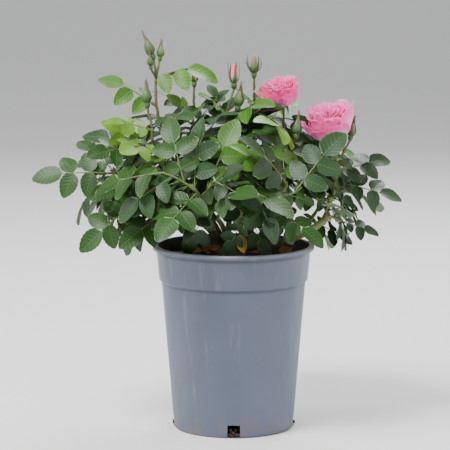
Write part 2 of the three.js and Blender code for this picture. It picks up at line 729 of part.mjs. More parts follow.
// Turns a solid that stands on the origin along +Z so that it stands on base along axis.
function stood(solid, base, axis) {
  const turn = new THREE.Quaternion().setFromUnitVectors(UP, axis);
  const matrix = new THREE.Matrix4().makeRotationFromQuaternion(turn);
  return solid.transform(matrix.elements).translate(base.toArray());
}

function budSolid({ base, axis, size }) {
  const profile = [[0, -2], [3, 2], [2.5, 6], [5.4, 12], [4, 19], [0, 30]];
  return stood(turned(profile.map(([r, z]) => [r * size, z * size]), BUD.sides), base, axis);
}

// A half open bloom: a cup of outer petals with a wavy rim, round a mound of inner ones.
function bloomSolid({ base, axis, size }) {
  const profile = [[0, -2], [4, 1], [17, 8], [26, 20], [28, 35], [22, 42], [15, 37], [8, 42], [0, 39]];
  const points = profile.map(([r, z]) => new THREE.Vector2(r * size, z * size));
  const geometry = new THREE.LatheGeometry(points, BLOOM.sides).rotateX(Math.PI / 2);
  const position = geometry.attributes.position;
  for (let i = 0; i < position.count; i++) {
    const wave = Math.round(Math.cos(BLOOM.waves * Math.atan2(position.getY(i), position.getX(i))));
    const height = position.getZ(i);
    if (height > BLOOM.wavyAbove * size) position.setZ(i, height + wave * BLOOM.waveHeight * size);
  }
  return stood(solidOf(geometry), base, axis);
}

const makeFlower = (flower) => (flower.kind === "bloom" ? bloomSolid(flower) : budSolid(flower));

// Everything that stands so far, each with the piece it belongs to.
const standing = [];

const boxesMeet = (a, b) => [0, 1, 2].every((i) => a.min[i] < b.max[i] && b.min[i] < a.max[i]);

function stand(owner, solids) {
  solids.forEach((solid) => standing.push({ owner, solid, box: solid.boundingBox() }));
}

// The piece, other than their owner, that any of the solids runs into.
function hits(owner, solids) {
  const meets = (other) => solids.some(
    (solid) => boxesMeet(solid.boundingBox(), other.box) && solid.intersect(other.solid).volume() > 0);
  return standing.find((other) => other.owner !== owner && meets(other))?.owner;
}

function stemSolids(mass) {
  return [
    limb(mass.curve, SHOOT_RADIUS, FACETS.shoot),
    ...mass.stalks.map(({ curve }) => limb(curve, STALK_RADIUS, FACETS.stalk)),
    ...mass.stalks.map(makeFlower),
  ];
}

const twigSolid = (curve) => limb(curve, TWIG.radius, FACETS.twig);

// Parts of a shoot are cut clear of the cane that bears it. A twig or leaf that would meet another piece is
// left off, and what it would meet is named.
function addToMass(mass, solids, cane) {
  const cut = solids.map((solid) => solid.subtract(cane)).filter((solid) => !solid.isEmpty());
  const met = hits(mass.name, cut);
  if (met) return met;
  mass.solids.push(...solids);
  stand(mass.name, cut);
  return undefined;
}

const bush = new THREE.Group();
const rootstock = makeRootstock();
const pot = makePot();
const mix = makeMix();
bush.add(meshOf("pot", pot, "pot"));
bush.add(meshOf("potting_mix", mix, "mix"));
bush.add(meshOf("rootstock", rootstock, "cane"));
stand("pot", [pot, mix, rootstock]);

// Canes leave the rootstock, and each is cut clear of it and of the canes made before it.
const caneClear = {};
const kneeClear = makeRootstock(CLEAR);
Object.entries(CANES).forEach(([name, { radius }]) => {
  const whole = limb(caneCurves[name], radius, FACETS.cane).subtract(kneeClear);
  const cane = wholePiece(Object.values(caneClear).reduce((cut, earlier) => cut.subtract(earlier), whole));
  caneClear[name] = limbWithClearance(caneCurves[name], radius, FACETS.cane);
  bush.add(meshOf(name, cane, "cane"));
  stand(name, [cane]);
});

// All stems and flowers stand before the twigs do, and all twigs before the leaves.
const masses = growBush();
masses.forEach((mass) => {
  const met = addToMass(mass, stemSolids(mass), caneClear[mass.plan.cane]);
  if (met) throw new Error(`${mass.name} runs into ${met}`);
});
masses.forEach((mass) => mass.twigs.forEach(
  (twig) => addToMass(mass, [twigSolid(twig)], caneClear[mass.plan.cane])));
masses.forEach((mass) => {
  const cane = caneClear[mass.plan.cane];
  mass.leaves.forEach((leaf) => {
    if (!hits(mass.name, leafSolids(leaf, CLEAR))) addToMass(mass, leafSolids(leaf), cane);
  });
  const whole = wasm.Manifold.union(mass.solids).subtract(cane);
  bush.add(meshOf(mass.name, wholePiece(whole), "leaf"));
});

export default bush;
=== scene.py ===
"""A rose bush in its nursery pot: leaves, stems, buds, blooms, canes, potting mix and moulded pot."""
import math

import bpy
import numpy as np
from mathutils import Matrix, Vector, noise


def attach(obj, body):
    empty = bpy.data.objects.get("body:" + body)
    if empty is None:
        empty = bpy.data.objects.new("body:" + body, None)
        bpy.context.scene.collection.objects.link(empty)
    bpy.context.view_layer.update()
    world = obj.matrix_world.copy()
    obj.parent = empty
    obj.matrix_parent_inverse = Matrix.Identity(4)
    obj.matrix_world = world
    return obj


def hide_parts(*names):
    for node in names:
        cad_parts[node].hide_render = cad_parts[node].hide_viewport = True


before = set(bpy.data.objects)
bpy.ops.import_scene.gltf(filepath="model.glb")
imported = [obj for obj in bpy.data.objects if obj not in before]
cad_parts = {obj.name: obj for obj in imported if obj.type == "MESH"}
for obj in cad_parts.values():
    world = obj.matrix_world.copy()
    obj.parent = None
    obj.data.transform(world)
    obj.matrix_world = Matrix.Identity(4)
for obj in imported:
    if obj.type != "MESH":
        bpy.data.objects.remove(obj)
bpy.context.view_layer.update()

MM = 0.001
FULL_TURN = 2 * math.pi
UP = np.array([0.0, 0.0, 1.0])

# The bush's plan, in millimetres, as its solids have it.
POT = {
    "height": 217,
    "foot_radius": 70.5,
    "foot_round": 2,
    "lip_radius": 95,
    "lip_height": 6,
    "lip_round": 1.5,
    "wall": 1.6,
    "floor": 2.6,
    "band_top_radius": 90.5,
    "band_foot_radius": 87.4,
    "body_top_radius": 84.6,
    "step_z": 177,
    "step_height": 3,
    "notch_width": 14.5,
    "notch_height": 15.5,
    "notch_depth": 13,
    "notches": 4,
}
MIX = {"surface_z": 198, "heap": 4, "radius": 86}
ROOTSTOCK = {"x": -4, "y": 6, "height": 20, "flare": 17, "waist": 11.5, "knuckle": 13.5}
ROOTSTOCK_Z = MIX["surface_z"] + MIX["heap"] + 0.3
CANE_ROOT = {"height": 10, "outward": 5}
SHOOT_RADIUS = [2.2, 1.5]
STALK_RADIUS = [1.5, 1.3]
TWIG = {
    "length": 48,
    "sizes": [0.8, 1.2],
    "radius": [1.5, 1.2],
    "bow": 3,
    "first": 0.3,
    "span": 0.5,
    "turn_each_try": 1.1,
    "rise": 0.5,
    "onwards": 0.7,
    "outward": 0.8,
}
TWIG_PROBES = [0.35, 0.5, 0.65, 0.8, 1]
GOLDEN_TURN = 2.4
LEAF = {
    "stalk": 56,
    "bend": 14,
    "length": 38,
    "width": 25.5,
    "sizes": [0.84, 1.08],
    "leaflet_sizes": [0.92, 1.08],
    "droop": 0.26,
    "droop_shares": [0.6, 1.4],
    "angle_stray": 0.1,
    "lift": 0.1,
    "lift_stray": 0.3,
    "tilt_stray": 0.5,
}
# Lower pair, upper pair and end leaflet: size, angle off the stalk and distance along it.
LEAFLETS = [(0.8, 1.3, 20), (0.92, 1.15, 43), (1.1, 0, 56)]
BLADE_PROBES = np.array(
    [[0.3, 0], [0.62, 0], [0.95, 0], [0.35, 0.36], [0.35, -0.36], [0.68, 0.3], [0.68, -0.3]]
)
HABIT = {
    "tries": 14,
    "spacing": 15,
    "leafy_share": 0.9,
    "turn_each_try": 0.9,
    "turn_stray": 0.5,
    "outward": 0.55,
    "onwards": 0.35,
    "upwards": 0.35,
    "hang": 0.5,
    "stray": 0.3,
    "face_up": [1.05, 0.5],
    "face_out": [0.25, 0.85],
    "face_front": 0.12,
    "face_stray": 0.5,
    "high_z": 370,
    "low_z": 240,
}
BUD = {"radius": 6, "middle": 12}
BLOOM = {"radius": 26, "middle": 12}
ROOM = {
    "others": 7.5,
    "own": 5.6,
    "limbs": 2.5,
    "flowers": 8,
    "placed": 0.5,
    "axil": 16,
    "over_rim": 5,
    "outside": 4,
    "lowest": 206,
    "lowest_in_front": 230,
    "front_y": -57,
    "probe_step": 5,
}
CROWN = {"centre": [4, 8, 262], "reach": [192, 182, 146]}
SEEDS = {
    "twig": 1000,
    "placed": 5000,
    "shoot_step": 20,
    "slot": 13,
    "slots_of_shoot": 1009,
    "slots_of_stem": 101,
    "slot_step": 7,
}

# Seeds of the finish, and within each shoot those of its stems, leaves and flowers.
FINISH_SEEDS = {
    "chips": 77,
    "bark": 300,
    "cane_prickles": 400,
    "loose_leaves": 600,
    "upper_leaves": 63000,
    "shoots": 20000,
    "shoot_step": 500,
}
WITHIN_SHOOT = {"prickles": 1, "twig": 10, "stalk": 60, "tint": 100, "leaf": 200, "flower": 400}

# The finer growth between the leaves of the solids: small twigs, small leaves and less room.
FINE = {
    "twigs": 4,
    "twig_length": 30,
    "twig_radius": [1.1, 0.8],
    "spacing": 9,
    "sizes": [0.66, 0.95],
    "room": 0.62,
    "placed_room": 0.4,
    "reach": [0.84, 0.84, 1.0],
    "rounds": 2,
    "seed": 9000,
}


def placed_leaf(at, tip, faces, droop=None):
    """A listed leaf: where along its shoot it grows, its tip, its facing and how far it hangs."""
    return {"at": at, "tip": tip, "faces": faces, "droop": droop}


def bud(look, base, axis, size):
    return {"kind": "bud", "look": look, "base": base, "axis": axis, "size": size}


def bloom(base, axis, size):
    return {"kind": "bloom", "look": "bloom", "base": base, "axis": axis, "size": size}


def shoot_plan(cane, at, tip, bow, twigs, leaves=(), flowers=()):
    """The cane a shoot grows from and how far along it, its tip and bow, and what it carries."""
    return {"cane": cane, "at": at, "tip": tip, "bow": bow,
            "twigs": twigs, "leaves": leaves, "flowers": flowers}


# Further leaves round the upper stems and over the pruned cane, which the solids leave out.
UPPER_LEAVES = {
    "shoot_top_left": [placed_leaf(0.55, [-42, -15, 380], [0.1, -0.6, 0.8])],
    "shoot_middle_left": [
        placed_leaf(0.9, [-77, 10, 393], [-0.2, -0.6, 0.8]),
        placed_leaf(1, [-20, -5, 388], [0.1, -0.5, 0.85]),
    ],
    "shoot_middle": [placed_leaf(0.97, [-30, 15, 405], [-0.1, -0.4, 0.9])],
    "shoot_middle_back": [
        placed_leaf(0.97, [-9, 0, 406], [-0.2, -0.5, 0.85]),
        placed_leaf(0.9, [42, 45, 405], [0.2, 0.1, 0.95]),
    ],
    "shoot_upper_left": [
        placed_leaf(0.95, [-152, -20, 365], [-0.2, -0.7, 0.7]),
        placed_leaf(0.88, [-176, -5, 337], [-0.2, -0.7, 0.6]),
    ],
    "shoot_bloom_left": [
        placed_leaf(1, [79, 20, 364], [0.2, -0.4, 0.9]),
        placed_leaf(0.95, [28, -30, 352], [-0.1, -0.6, 0.8]),
    ],
    "shoot_front_right": [placed_leaf(0.62, [94, -66, 274], [0.2, -0.8, 0.6])],
    "shoot_bloom_right": [placed_leaf(0.4, [62, -16, 274], [-0.2, -0.8, 0.6])],
}

# The part over the pot where leaves that hang below foot_z are left out, and the view of the pruned cane:
# places along it, the room round them, how far behind them still counts, and how steeply the view falls.
WINDOW = {
    "radius": 96,
    "back_y": 60,
    "foot_z": 254,
    "cane_places": [0.85, 0.92, 1.0],
    "cane_room": 7,
    "behind": 6,
    "look_down": 0.142,
}

# Canes: where each ends, how far its middle bows off the straight line, and its radius at foot and end.
CANES = {
    "cane_left": {"to": [-74, -8, 262], "bow": [-4, 0, 12], "radius": [3.6, 2.7]},
    "cane_low_left": {"to": [-62, -46, 250], "bow": [0, -4, 12], "radius": [3.2, 2.4]},
    "cane_upright_left": {"to": [-58, 22, 292], "bow": [-10, 4, 6], "radius": [3.8, 2.8]},
    "cane_middle": {"to": [-14, 8, 296], "bow": [6, 0, 6], "radius": [3.8, 2.9]},
    "cane_upright_right": {"to": [46, 14, 286], "bow": [10, -4, 6], "radius": [3.6, 2.7]},
    "cane_cut": {"to": [112, -30, 256.6], "bow": [8, -8, -9], "radius": [4.6, 4.0]},
    "cane_front_left": {"to": [-26, -58, 258], "bow": [2, -6, 10], "radius": [3.4, 2.5]},
    "cane_front_right": {"to": [34, -56, 256], "bow": [4, -4, 10], "radius": [3.4, 2.5]},
    "cane_back_left": {"to": [-46, 62, 268], "bow": [-4, 6, 8], "radius": [3.6, 2.6]},
    "cane_back_right": {"to": [44, 66, 266], "bow": [4, 6, 8], "radius": [3.6, 2.6]},
}

PRUNED_CANE = "cane_cut"

SHOOTS = {
    "shoot_left": shoot_plan(
        "cane_left", 1, [-148, -16, 303], [4, 2, 12], twigs=1,
        leaves=[
            placed_leaf(1, [-235.5, -20, 299], [-0.1, -0.8, 0.6]),
            placed_leaf(0.88, [-184, 34, 337], [-0.3, -0.5, 0.8]),
            placed_leaf(0.5, [-165, -62, 280], [-0.2, -0.9, 0.45]),
        ],
    ),
    "shoot_upper_left": shoot_plan(
        "cane_upright_left", 0.7, [-112, -8, 334], [-4, -6, 8], twigs=1,
        leaves=[
            placed_leaf(1, [-170, -44, 326], [-0.1, -0.8, 0.6]),
            placed_leaf(0.82, [-178, 6, 347], [-0.2, -0.6, 0.8]),
        ],
    ),
    "shoot_low_left": shoot_plan(
        "cane_low_left", 1, [-116, -52, 270], [0, -2, 8], twigs=1,
        leaves=[
            placed_leaf(1, [-178, -66, 219], [-0.2, -0.95, 0.3]),
            placed_leaf(0.3, [-130, -100, 228], [-0.1, -0.9, 0.4]),
        ],
    ),
    "shoot_top_left": shoot_plan(
        "cane_upright_left", 1, [-90.4, 0, 412.8], [-10, -12, 0], twigs=0,
        leaves=[
            placed_leaf(0.72, [-158.7, -6, 413], [-0.1, -0.5, 0.85], 0.5),
            placed_leaf(0.95, [-16.5, -20, 413], [0.1, -0.45, 0.85], 0.7),
            placed_leaf(0.6, [-46, -56, 372], [0.1, -0.6, 0.8]),
        ],
        flowers=[
            bud("closed", [-93, 0, 435], [-0.38, 0, 0.92], 0.98),
            bud("closed", [-86, 0, 433], [0.1, 0.05, 1], 0.75),
            bud("closed", [-96, -8, 424], [-0.08, -0.1, 1], 0.65),
        ],
    ),
    "shoot_side_left": shoot_plan(
        "cane_upright_left", 0.9, [-94, -22, 356], [-12, -12, 0], twigs=0,
        leaves=[
            placed_leaf(0.97, [-150, -40, 366], [-0.1, -0.5, 0.85]),
            placed_leaf(0.75, [-128, -84, 336], [-0.1, -0.8, 0.6]),
        ],
        flowers=[bud("closed", [-99.6, -25, 381], [-0.06, 0, 1], 0.95)],
    ),
    "shoot_middle": shoot_plan(
        "cane_middle", 1, [-9, 0, 370], [4, 0, 0], twigs=1,
        leaves=[
            placed_leaf(1, [-40, -40, 398], [-0.1, -0.55, 0.85]),
            placed_leaf(0.94, [46, -50, 388], [0.05, -0.5, 0.9], 0.4),
        ],
        flowers=[
            bud("striped", [0.4, 0, 401], [0, 0, 1], 1.0),
            bud("closed", [4, -24, 377], [0.15, -0.05, 1], 1.0),
        ],
    ),
    "shoot_middle_left": shoot_plan(
        "cane_middle", 0.6, [-47, 24, 372], [-12, 6, -4], twigs=1,
        leaves=[
            placed_leaf(0.97, [-98, 30, 398], [-0.1, -0.3, 0.95]),
            placed_leaf(0.85, [-6, 40, 398], [0.1, -0.3, 0.9]),
        ],
        flowers=[bud("striped", [-46.3, 24, 401], [0, 0, 1], 0.9)],
    ),
    "shoot_middle_back": shoot_plan(
        "cane_middle", 0.7, [24, 26, 384], [4, 10, -4], twigs=1,
        leaves=[
            placed_leaf(0.95, [58, 84, 384], [0.2, 0.4, 0.9]),
            placed_leaf(0.85, [78, 34, 382], [0.3, -0.3, 0.9]),
        ],
        flowers=[bud("opening", [23.9, 20, 412], [0, 0, 1], 0.95)],
    ),
    "shoot_bloom_left": shoot_plan(
        "cane_upright_right", 1, [59, 0, 322], [4, 0, 0], twigs=1,
        flowers=[
            bloom([58.5, 0, 379], [-0.22, -0.2, 1], 0.8),
            bud("closed", [72, -28, 345], [0.1, 0, 1], 0.95),
        ],
    ),
    "shoot_bloom_right": shoot_plan(
        "cane_cut", 0.86, [119, -9, 308], [6, 2, 0], twigs=0,
        leaves=[
            placed_leaf(1, [69, -34, 332], [0, -0.6, 0.8]),
            placed_leaf(0.92, [186, 16, 317], [0.2, -0.55, 0.8]),
            placed_leaf(0.8, [150, 66, 318], [0.3, 0.3, 0.85]),
        ],
        flowers=[
            bloom([117, -14, 341], [-0.2, -0.22, 1], 1.02),
            bud("closed", [135.8, 0, 340], [0.2, 0, 1], 0.85),
        ],
    ),
    "shoot_right": shoot_plan(
        "cane_cut", 0.62, [130, 4, 288], [2, 8, 8], twigs=1,
        leaves=[placed_leaf(1, [198.5, 0, 271], [0.2, -0.7, 0.7])],
    ),
    "shoot_low_right": shoot_plan(
        "cane_cut", 0.93, [124, -28, 248], [0, -2, 4], twigs=0,
        leaves=[placed_leaf(1, [170, -24, 232], [0.2, -0.6, 0.8])],
    ),
    "shoot_front_left": shoot_plan(
        "cane_front_left", 1, [-48, -90, 298], [0, -8, 4], twigs=2,
        leaves=[placed_leaf(0.2, [-56, -56, 212], [-0.2, -0.95, 0.1])],
    ),
    "shoot_front": shoot_plan("cane_front_left", 0.78, [-4, -80, 322], [8, -8, 0], twigs=2),
    "shoot_front_right": shoot_plan(
        "cane_front_right", 1, [60, -86, 298], [4, -8, 6], twigs=2,
        leaves=[placed_leaf(0.2, [70, -62, 226], [0.1, -0.95, 0.3])],
    ),
    "shoot_low_front": shoot_plan(
        "cane_front_right", 0.7, [10, -56, 252], [0, -2, 4], twigs=0,
        leaves=[
            placed_leaf(1, [-12, -66, 213], [0, -0.95, 0.3]),
            placed_leaf(0.5, [40, -68, 213], [0.1, -0.95, 0.3]),
        ],
    ),
    "shoot_back_left": shoot_plan(
        "cane_back_left", 1, [-92, 98, 308], [-2, 6, 8], twigs=2,
        leaves=[placed_leaf(1, [-146, 136, 290], [-0.4, 0.6, 0.7])],
    ),
    "shoot_back": shoot_plan(
        "cane_back_left", 0.75, [-12, 88, 340], [0, 8, 4], twigs=2,
        leaves=[placed_leaf(1, [-24, 156, 330], [-0.1, 0.8, 0.7])],
    ),
    "shoot_back_right": shoot_plan(
        "cane_back_right", 1, [82, 98, 312], [4, 6, 6], twigs=2,
        leaves=[placed_leaf(1, [132, 142, 292], [0.4, 0.6, 0.7])],
    ),
    "shoot_low_back": shoot_plan(
        "cane_back_right", 0.8, [26, 116, 272], [0, 6, 8], twigs=2,
        leaves=[placed_leaf(1, [36, 188, 244], [0.1, 0.9, 0.5])],
    ),
}


# Vectors and curves

def vec(values):
    return np.array(values, float)


def unit(v):
    return v / math.sqrt(v[0] * v[0] + v[1] * v[1] + v[2] * v[2])


def cross(a, b):
    return vec([a[1] * b[2] - a[2] * b[1], a[2] * b[0] - a[0] * b[2], a[0] * b[1] - a[1] * b[0]])


def rotated(v, axis, angle):
    """v turned about a unit axis."""
    c, s = math.cos(angle), math.sin(angle)
    return v * c + cross(axis, v) * s + axis * (axis @ v) * (1 - c)


def seeded(seed):
    """Draws the same numbers from a seed as the solids' plan does."""
    state = (seed * 2654435761) & 0xFFFFFFFF

    def draw():
        nonlocal state
        state = (state * 1664525 + 1013904223) & 0xFFFFFFFF
        return state / 4294967296

    draw()
    draw()
    return draw


def chance(random, span):
    return span * (random() - 0.5)


def between(random, limits):
    return limits[0] + (limits[1] - limits[0]) * random()


def lerp(pair, share):
    return pair[0] + (pair[1] - pair[0]) * share


class Curve:
    """A quadratic curve from a to b whose middle is drawn off the straight line by bow."""

    STEPS = 200

    def __init__(self, a, b, bow):
        self.a = vec(a)
        self.b = vec(b)
        self.c = (self.a + self.b) / 2 + 2 * vec(bow)
        self.outermost = 0.0

    def point(self, t):
        return (1 - t) ** 2 * self.a + 2 * t * (1 - t) * self.c + t * t * self.b

    def tangent(self, t):
        return unit(2 * (1 - t) * (self.c - self.a) + 2 * t * (self.b - self.c))

    def length(self):
        points = np.array([self.point(i / self.STEPS) for i in range(self.STEPS + 1)])
        return np.linalg.norm(np.diff(points, axis=0), axis=1).sum()


def side_of(stem):
    other = UP if abs(stem[2]) < 0.9 else vec([1, 0, 0])
    return unit(cross(stem, other))


def outward_at(p):
    return unit(vec([p[0] - ROOTSTOCK["x"], p[1] - ROOTSTOCK["y"], 0]))


# Growth: the rule that grew the solids, carried on to finer twigs and leaves

STEM = -2
NO_LEAF = -1
NO_OWNER = -1
FIRST_CANE = 1000


class Space:
    """Points with the radius that must stay free round them, and the shoot and leaf they belong to."""

    MOST = 60000
    NEAR = 9

    def __init__(self):
        self.count = 0
        self.points = np.zeros((self.MOST, 3))
        self.radii = np.zeros(self.MOST)
        self.owners = np.zeros(self.MOST, int)
        self.leaves = np.zeros(self.MOST, int)

    def take(self, points, radius, owner, leaf=NO_LEAF):
        points = np.atleast_2d(points)
        new = slice(self.count, self.count + len(points))
        self.points[new] = points
        self.radii[new] = radius
        self.owners[new] = owner
        self.leaves[new] = leaf
        self.count += len(points)

    def take_along(self, curve, radii, owner):
        steps = math.ceil(curve.length() / ROOM["probe_step"])
        shares = [i / steps for i in range(steps + 1)]
        points = np.array([curve.point(t) for t in shares])
        self.take(points, ROOM["limbs"] + np.array([lerp(radii, t) for t in shares]), owner, STEM)

    def is_free(self, points, owner, leaf, root, placed=False, room=1.0):
        """Compares the points with those near them; a placed leaf and the finer growth need less room."""
        share = room * (ROOM["placed"] if placed else 1)
        low = points.min(axis=0) - self.NEAR
        high = points.max(axis=0) + self.NEAR
        x, y, z = self.points[: self.count].T
        near = (x > low[0]) & (x < high[0]) & (y > low[1]) & (y < high[1]) & (z > low[2]) & (z < high[2])
        near = np.flatnonzero(near | (self.radii[: self.count] > self.NEAR))
        apart = points[:, None] - self.points[near][None]
        gaps = np.sqrt((apart * apart).sum(axis=2)) / share
        radii = self.radii[near]
        own = self.owners[near] == owner
        at_root = np.linalg.norm(points - root, axis=1)[:, None] < ROOM["axil"]
        clear_of_stem = (gaps > radii) | (own & (placed | at_root))
        clear_of_leaf = gaps > np.where(own, ROOM["own"], radii)
        same_leaf = own & (self.leaves[near] == leaf)
        clear = np.where(self.leaves[near] == STEM, clear_of_stem, clear_of_leaf) | same_leaf
        return bool(clear.all())


def in_crown(points, placed, reach=(1, 1, 1)):
    """Whether a leaf may be here: clear of the pot, and inside the crown's dome unless placed."""
    radius = np.hypot(points[:, 0], points[:, 1])
    z = points[:, 2]
    mix_top = MIX["surface_z"] + MIX["heap"] + ROOM["over_rim"]
    over_mix = (radius < POT["band_top_radius"] - ROOM["outside"]) & (z > mix_top)
    near_pot = (z < POT["height"] + ROOM["over_rim"]) & (radius < POT["lip_radius"] + ROOM["outside"])
    if (near_pot & ~over_mix).any():
        return False
    if placed:
        return True
    in_front = (points[:, 1] < ROOM["front_y"]) & (np.abs(points[:, 0]) < POT["lip_radius"])
    if (z < np.where(in_front, ROOM["lowest_in_front"], ROOM["lowest"])).any():
        return False
    inside = (points - vec(CROWN["centre"])) / (vec(CROWN["reach"]) * vec(reach))
    return bool(((inside**2).sum(axis=1) < 1).all())


def leaflet(root, direction, faces, share):
    normal = unit(faces - np.dot(faces, direction) * direction)
    side = cross(normal, direction)
    length = LEAF["length"] * share
    width = LEAF["width"] * share
    points = root + BLADE_PROBES[:, :1] * length * direction + BLADE_PROBES[:, 1:] * width * side
    return {
        "root": root,
        "direction": direction,
        "normal": normal,
        "side": side,
        "length": length,
        "width": width,
        "points": points,
    }


def lay_out_leaf(root, direction, faces, scale, random, droop=None):
    """A compound leaf: its stalk bends down by droop, and five leaflets spread and lift from it."""
    droop = LEAF["droop"] if droop is None else droop
    side = unit(cross(faces, direction))
    bend = root + LEAF["bend"] * scale * direction
    stalk = rotated(direction, side, droop * between(random, LEAF["droop_shares"]))
    normal = unit(cross(stalk, side))
    end = bend + (LEAF["stalk"] - LEAF["bend"]) * scale * stalk
    blades = []
    for share, angle, start in LEAFLETS:
        joint = bend + (start - LEAF["bend"]) * scale * stalk
        for hand in ((1, -1) if angle else (0,)):
            out = rotated(stalk, normal, hand * angle + chance(random, LEAF["angle_stray"]))
            out = unit(out + normal * (LEAF["lift"] - droop + chance(random, LEAF["lift_stray"])))
            tilted = normal + side * chance(random, LEAF["tilt_stray"])
            size = share * scale * between(random, LEAF["leaflet_sizes"])
            blades.append(leaflet(joint, out, tilted, size))
    points = np.vstack([blade["points"] for blade in blades] + [bend, end])
    return {
        "joints": [root, bend, end],
        "direction": direction,
        "normal": normal,
        "side": side,
        "scale": scale,
        "blades": blades,
        "points": points,
    }


class Shoot:
    """One mass of foliage: its stem, stalks, twigs, leaves and flowers."""

    def __init__(self, name, plan, number, canes, space):
        self.name = name
        self.plan = plan
        self.number = number
        self.curve = Curve(canes[plan["cane"]].point(plan["at"]), plan["tip"], plan["bow"])
        self.twigs = []
        self.fine_twigs = []
        self.leaves = []
        self.flowers = []
        space.take_along(self.curve, SHOOT_RADIUS, number)
        for flower in plan["flowers"]:
            base = vec(flower["base"])
            axis = unit(vec(flower["axis"]))
            stalk = Curve(self.curve.b, base, [0, 0, 0])
            shape = BLOOM if flower["kind"] == "bloom" else BUD
            space.take_along(stalk, STALK_RADIUS, number)
            middle = base + axis * shape["middle"] * flower["size"]
            space.take(middle, shape["radius"] * flower["size"] + ROOM["flowers"], NO_OWNER)
            self.flowers.append({**flower, "base": base, "axis": axis, "stalk": stalk})

    def keep_leaf(self, space, leaf, placed=False, room=1.0, reach=(1, 1, 1)):
        index = len(self.leaves)
        if not in_crown(leaf["points"], placed, reach):
            return False
        if not space.is_free(leaf["points"], self.number, index, leaf["joints"][0], placed, room):
            return False
        space.take(leaf["points"], ROOM["others"], self.number, index)
        self.leaves.append(leaf)
        return True

    def grow_placed_leaf(self, space, plan, seed, room=1.0):
        """Lays a leaf out once as a trial, then turns and sizes it so that its end comes to its tip."""
        root = self.curve.point(plan["at"])
        goal = vec(plan["tip"]) - root
        facing = unit(vec(plan["faces"]))
        droop = plan["droop"]
        trial = lay_out_leaf(root, unit(goal), facing, 1, seeded(seed), droop)
        last = trial["blades"][-1]
        reached = last["root"] + last["direction"] * last["length"] - root
        scale = np.linalg.norm(goal) / np.linalg.norm(reached)
        axis = cross(unit(reached), unit(goal))
        angle = math.asin(min(1.0, np.linalg.norm(axis)))
        axis = unit(axis)
        direction = rotated(unit(goal), axis, angle)
        facing = rotated(facing, axis, angle)
        leaf = lay_out_leaf(root, direction, facing, scale, seeded(seed), droop)
        self.keep_leaf(space, leaf, True, room)

    def grow_placed_leaves(self, space, plans, first_seed, room=1.0):
        for i, plan in enumerate(plans):
            self.grow_placed_leaf(space, plan, first_seed + self.number * SEEDS["shoot_step"] + i, room)

    def grow_twigs(self, space, count, first_seed, size, kept, room=1.0):
        for i in range(count):
            random = seeded(first_seed + self.number * SEEDS["shoot_step"] + i)
            self.grow_twig(space, i, count, random, *size, kept, room)

    def grow_twig(self, space, index, count, random, length, radii, kept, room):
        t = TWIG["first"] + (TWIG["span"] * (index + 0.5)) / count
        root = self.curve.point(t)
        stem = self.curve.tangent(t)
        outward = outward_at(root)
        for attempt in range(HABIT["tries"]):
            spin = index * GOLDEN_TURN + attempt * TWIG["turn_each_try"] + random()
            away = vec([math.cos(spin), math.sin(spin), TWIG["rise"] * random()])
            away = unit(away + TWIG["onwards"] * stem + TWIG["outward"] * outward)
            end = root + away * length * between(random, TWIG["sizes"])
            curve = Curve(root, end, [0, 0, TWIG["bow"]])
            probes = np.array([curve.point(u) for u in TWIG_PROBES])
            if not in_crown(probes, False):
                continue
            if not space.is_free(probes, self.number, NO_LEAF, root, False, room):
                continue
            kept.append(curve)
            space.take_along(curve, [radii[0], radii[0]], self.number)
            return

    def grow_leaf(self, space, slot, sizes=LEAF["sizes"], room=1.0, reach=(1, 1, 1)):
        """Tries one way after the other round the stem; faces up high in the crown and out lower down."""
        curve, t, turn, seed = slot
        root = curve.point(t)
        stem = curve.tangent(t)
        side = side_of(stem)
        random = seeded(seed)
        outward = outward_at(root)
        low = min(1, max(0, (HABIT["high_z"] - root[2]) / (HABIT["high_z"] - HABIT["low_z"])))
        for attempt in range(HABIT["tries"]):
            spin = turn + attempt * HABIT["turn_each_try"] + HABIT["turn_stray"] * random()
            way = rotated(side, stem, spin) + HABIT["outward"] * outward + HABIT["onwards"] * stem
            way[2] += HABIT["upwards"] - HABIT["hang"] * low + chance(random, HABIT["stray"])
            faces = outward * lerp(HABIT["face_out"], low)
            faces[0] += chance(random, HABIT["face_stray"])
            faces[1] += chance(random, HABIT["face_stray"]) - HABIT["face_front"]
            faces[2] += lerp(HABIT["face_up"], low)
            leaf = lay_out_leaf(root, unit(way), faces, between(random, sizes), random)
            if self.keep_leaf(space, leaf, False, room, reach):
                curve.outermost = max(curve.outermost, t)
                return

    def all_stems(self):
        stalks = [flower["stalk"] for flower in self.flowers]
        return [self.curve] + self.twigs + self.fine_twigs + stalks

    def slots(self, curves, spacing, first_seed):
        found = []
        for stem, curve in enumerate(curves):
            count = math.floor(curve.length() / spacing)
            for i in range(count):
                seed = first_seed + self.number * SEEDS["slots_of_shoot"]
                seed += stem * SEEDS["slots_of_stem"] + i * SEEDS["slot_step"]
                found.append((curve, 1 - (i / count) * HABIT["leafy_share"], i * GOLDEN_TURN, seed))
        return found


def fill_in(shoots, slots, grow):
    """One slot of each shoot after the other, so that no shoot crowds out the rest."""
    for turn in range(max(len(own) for own in slots)):
        for shoot, own in zip(shoots, slots):
            if turn < len(own):
                grow(shoot, own[turn])


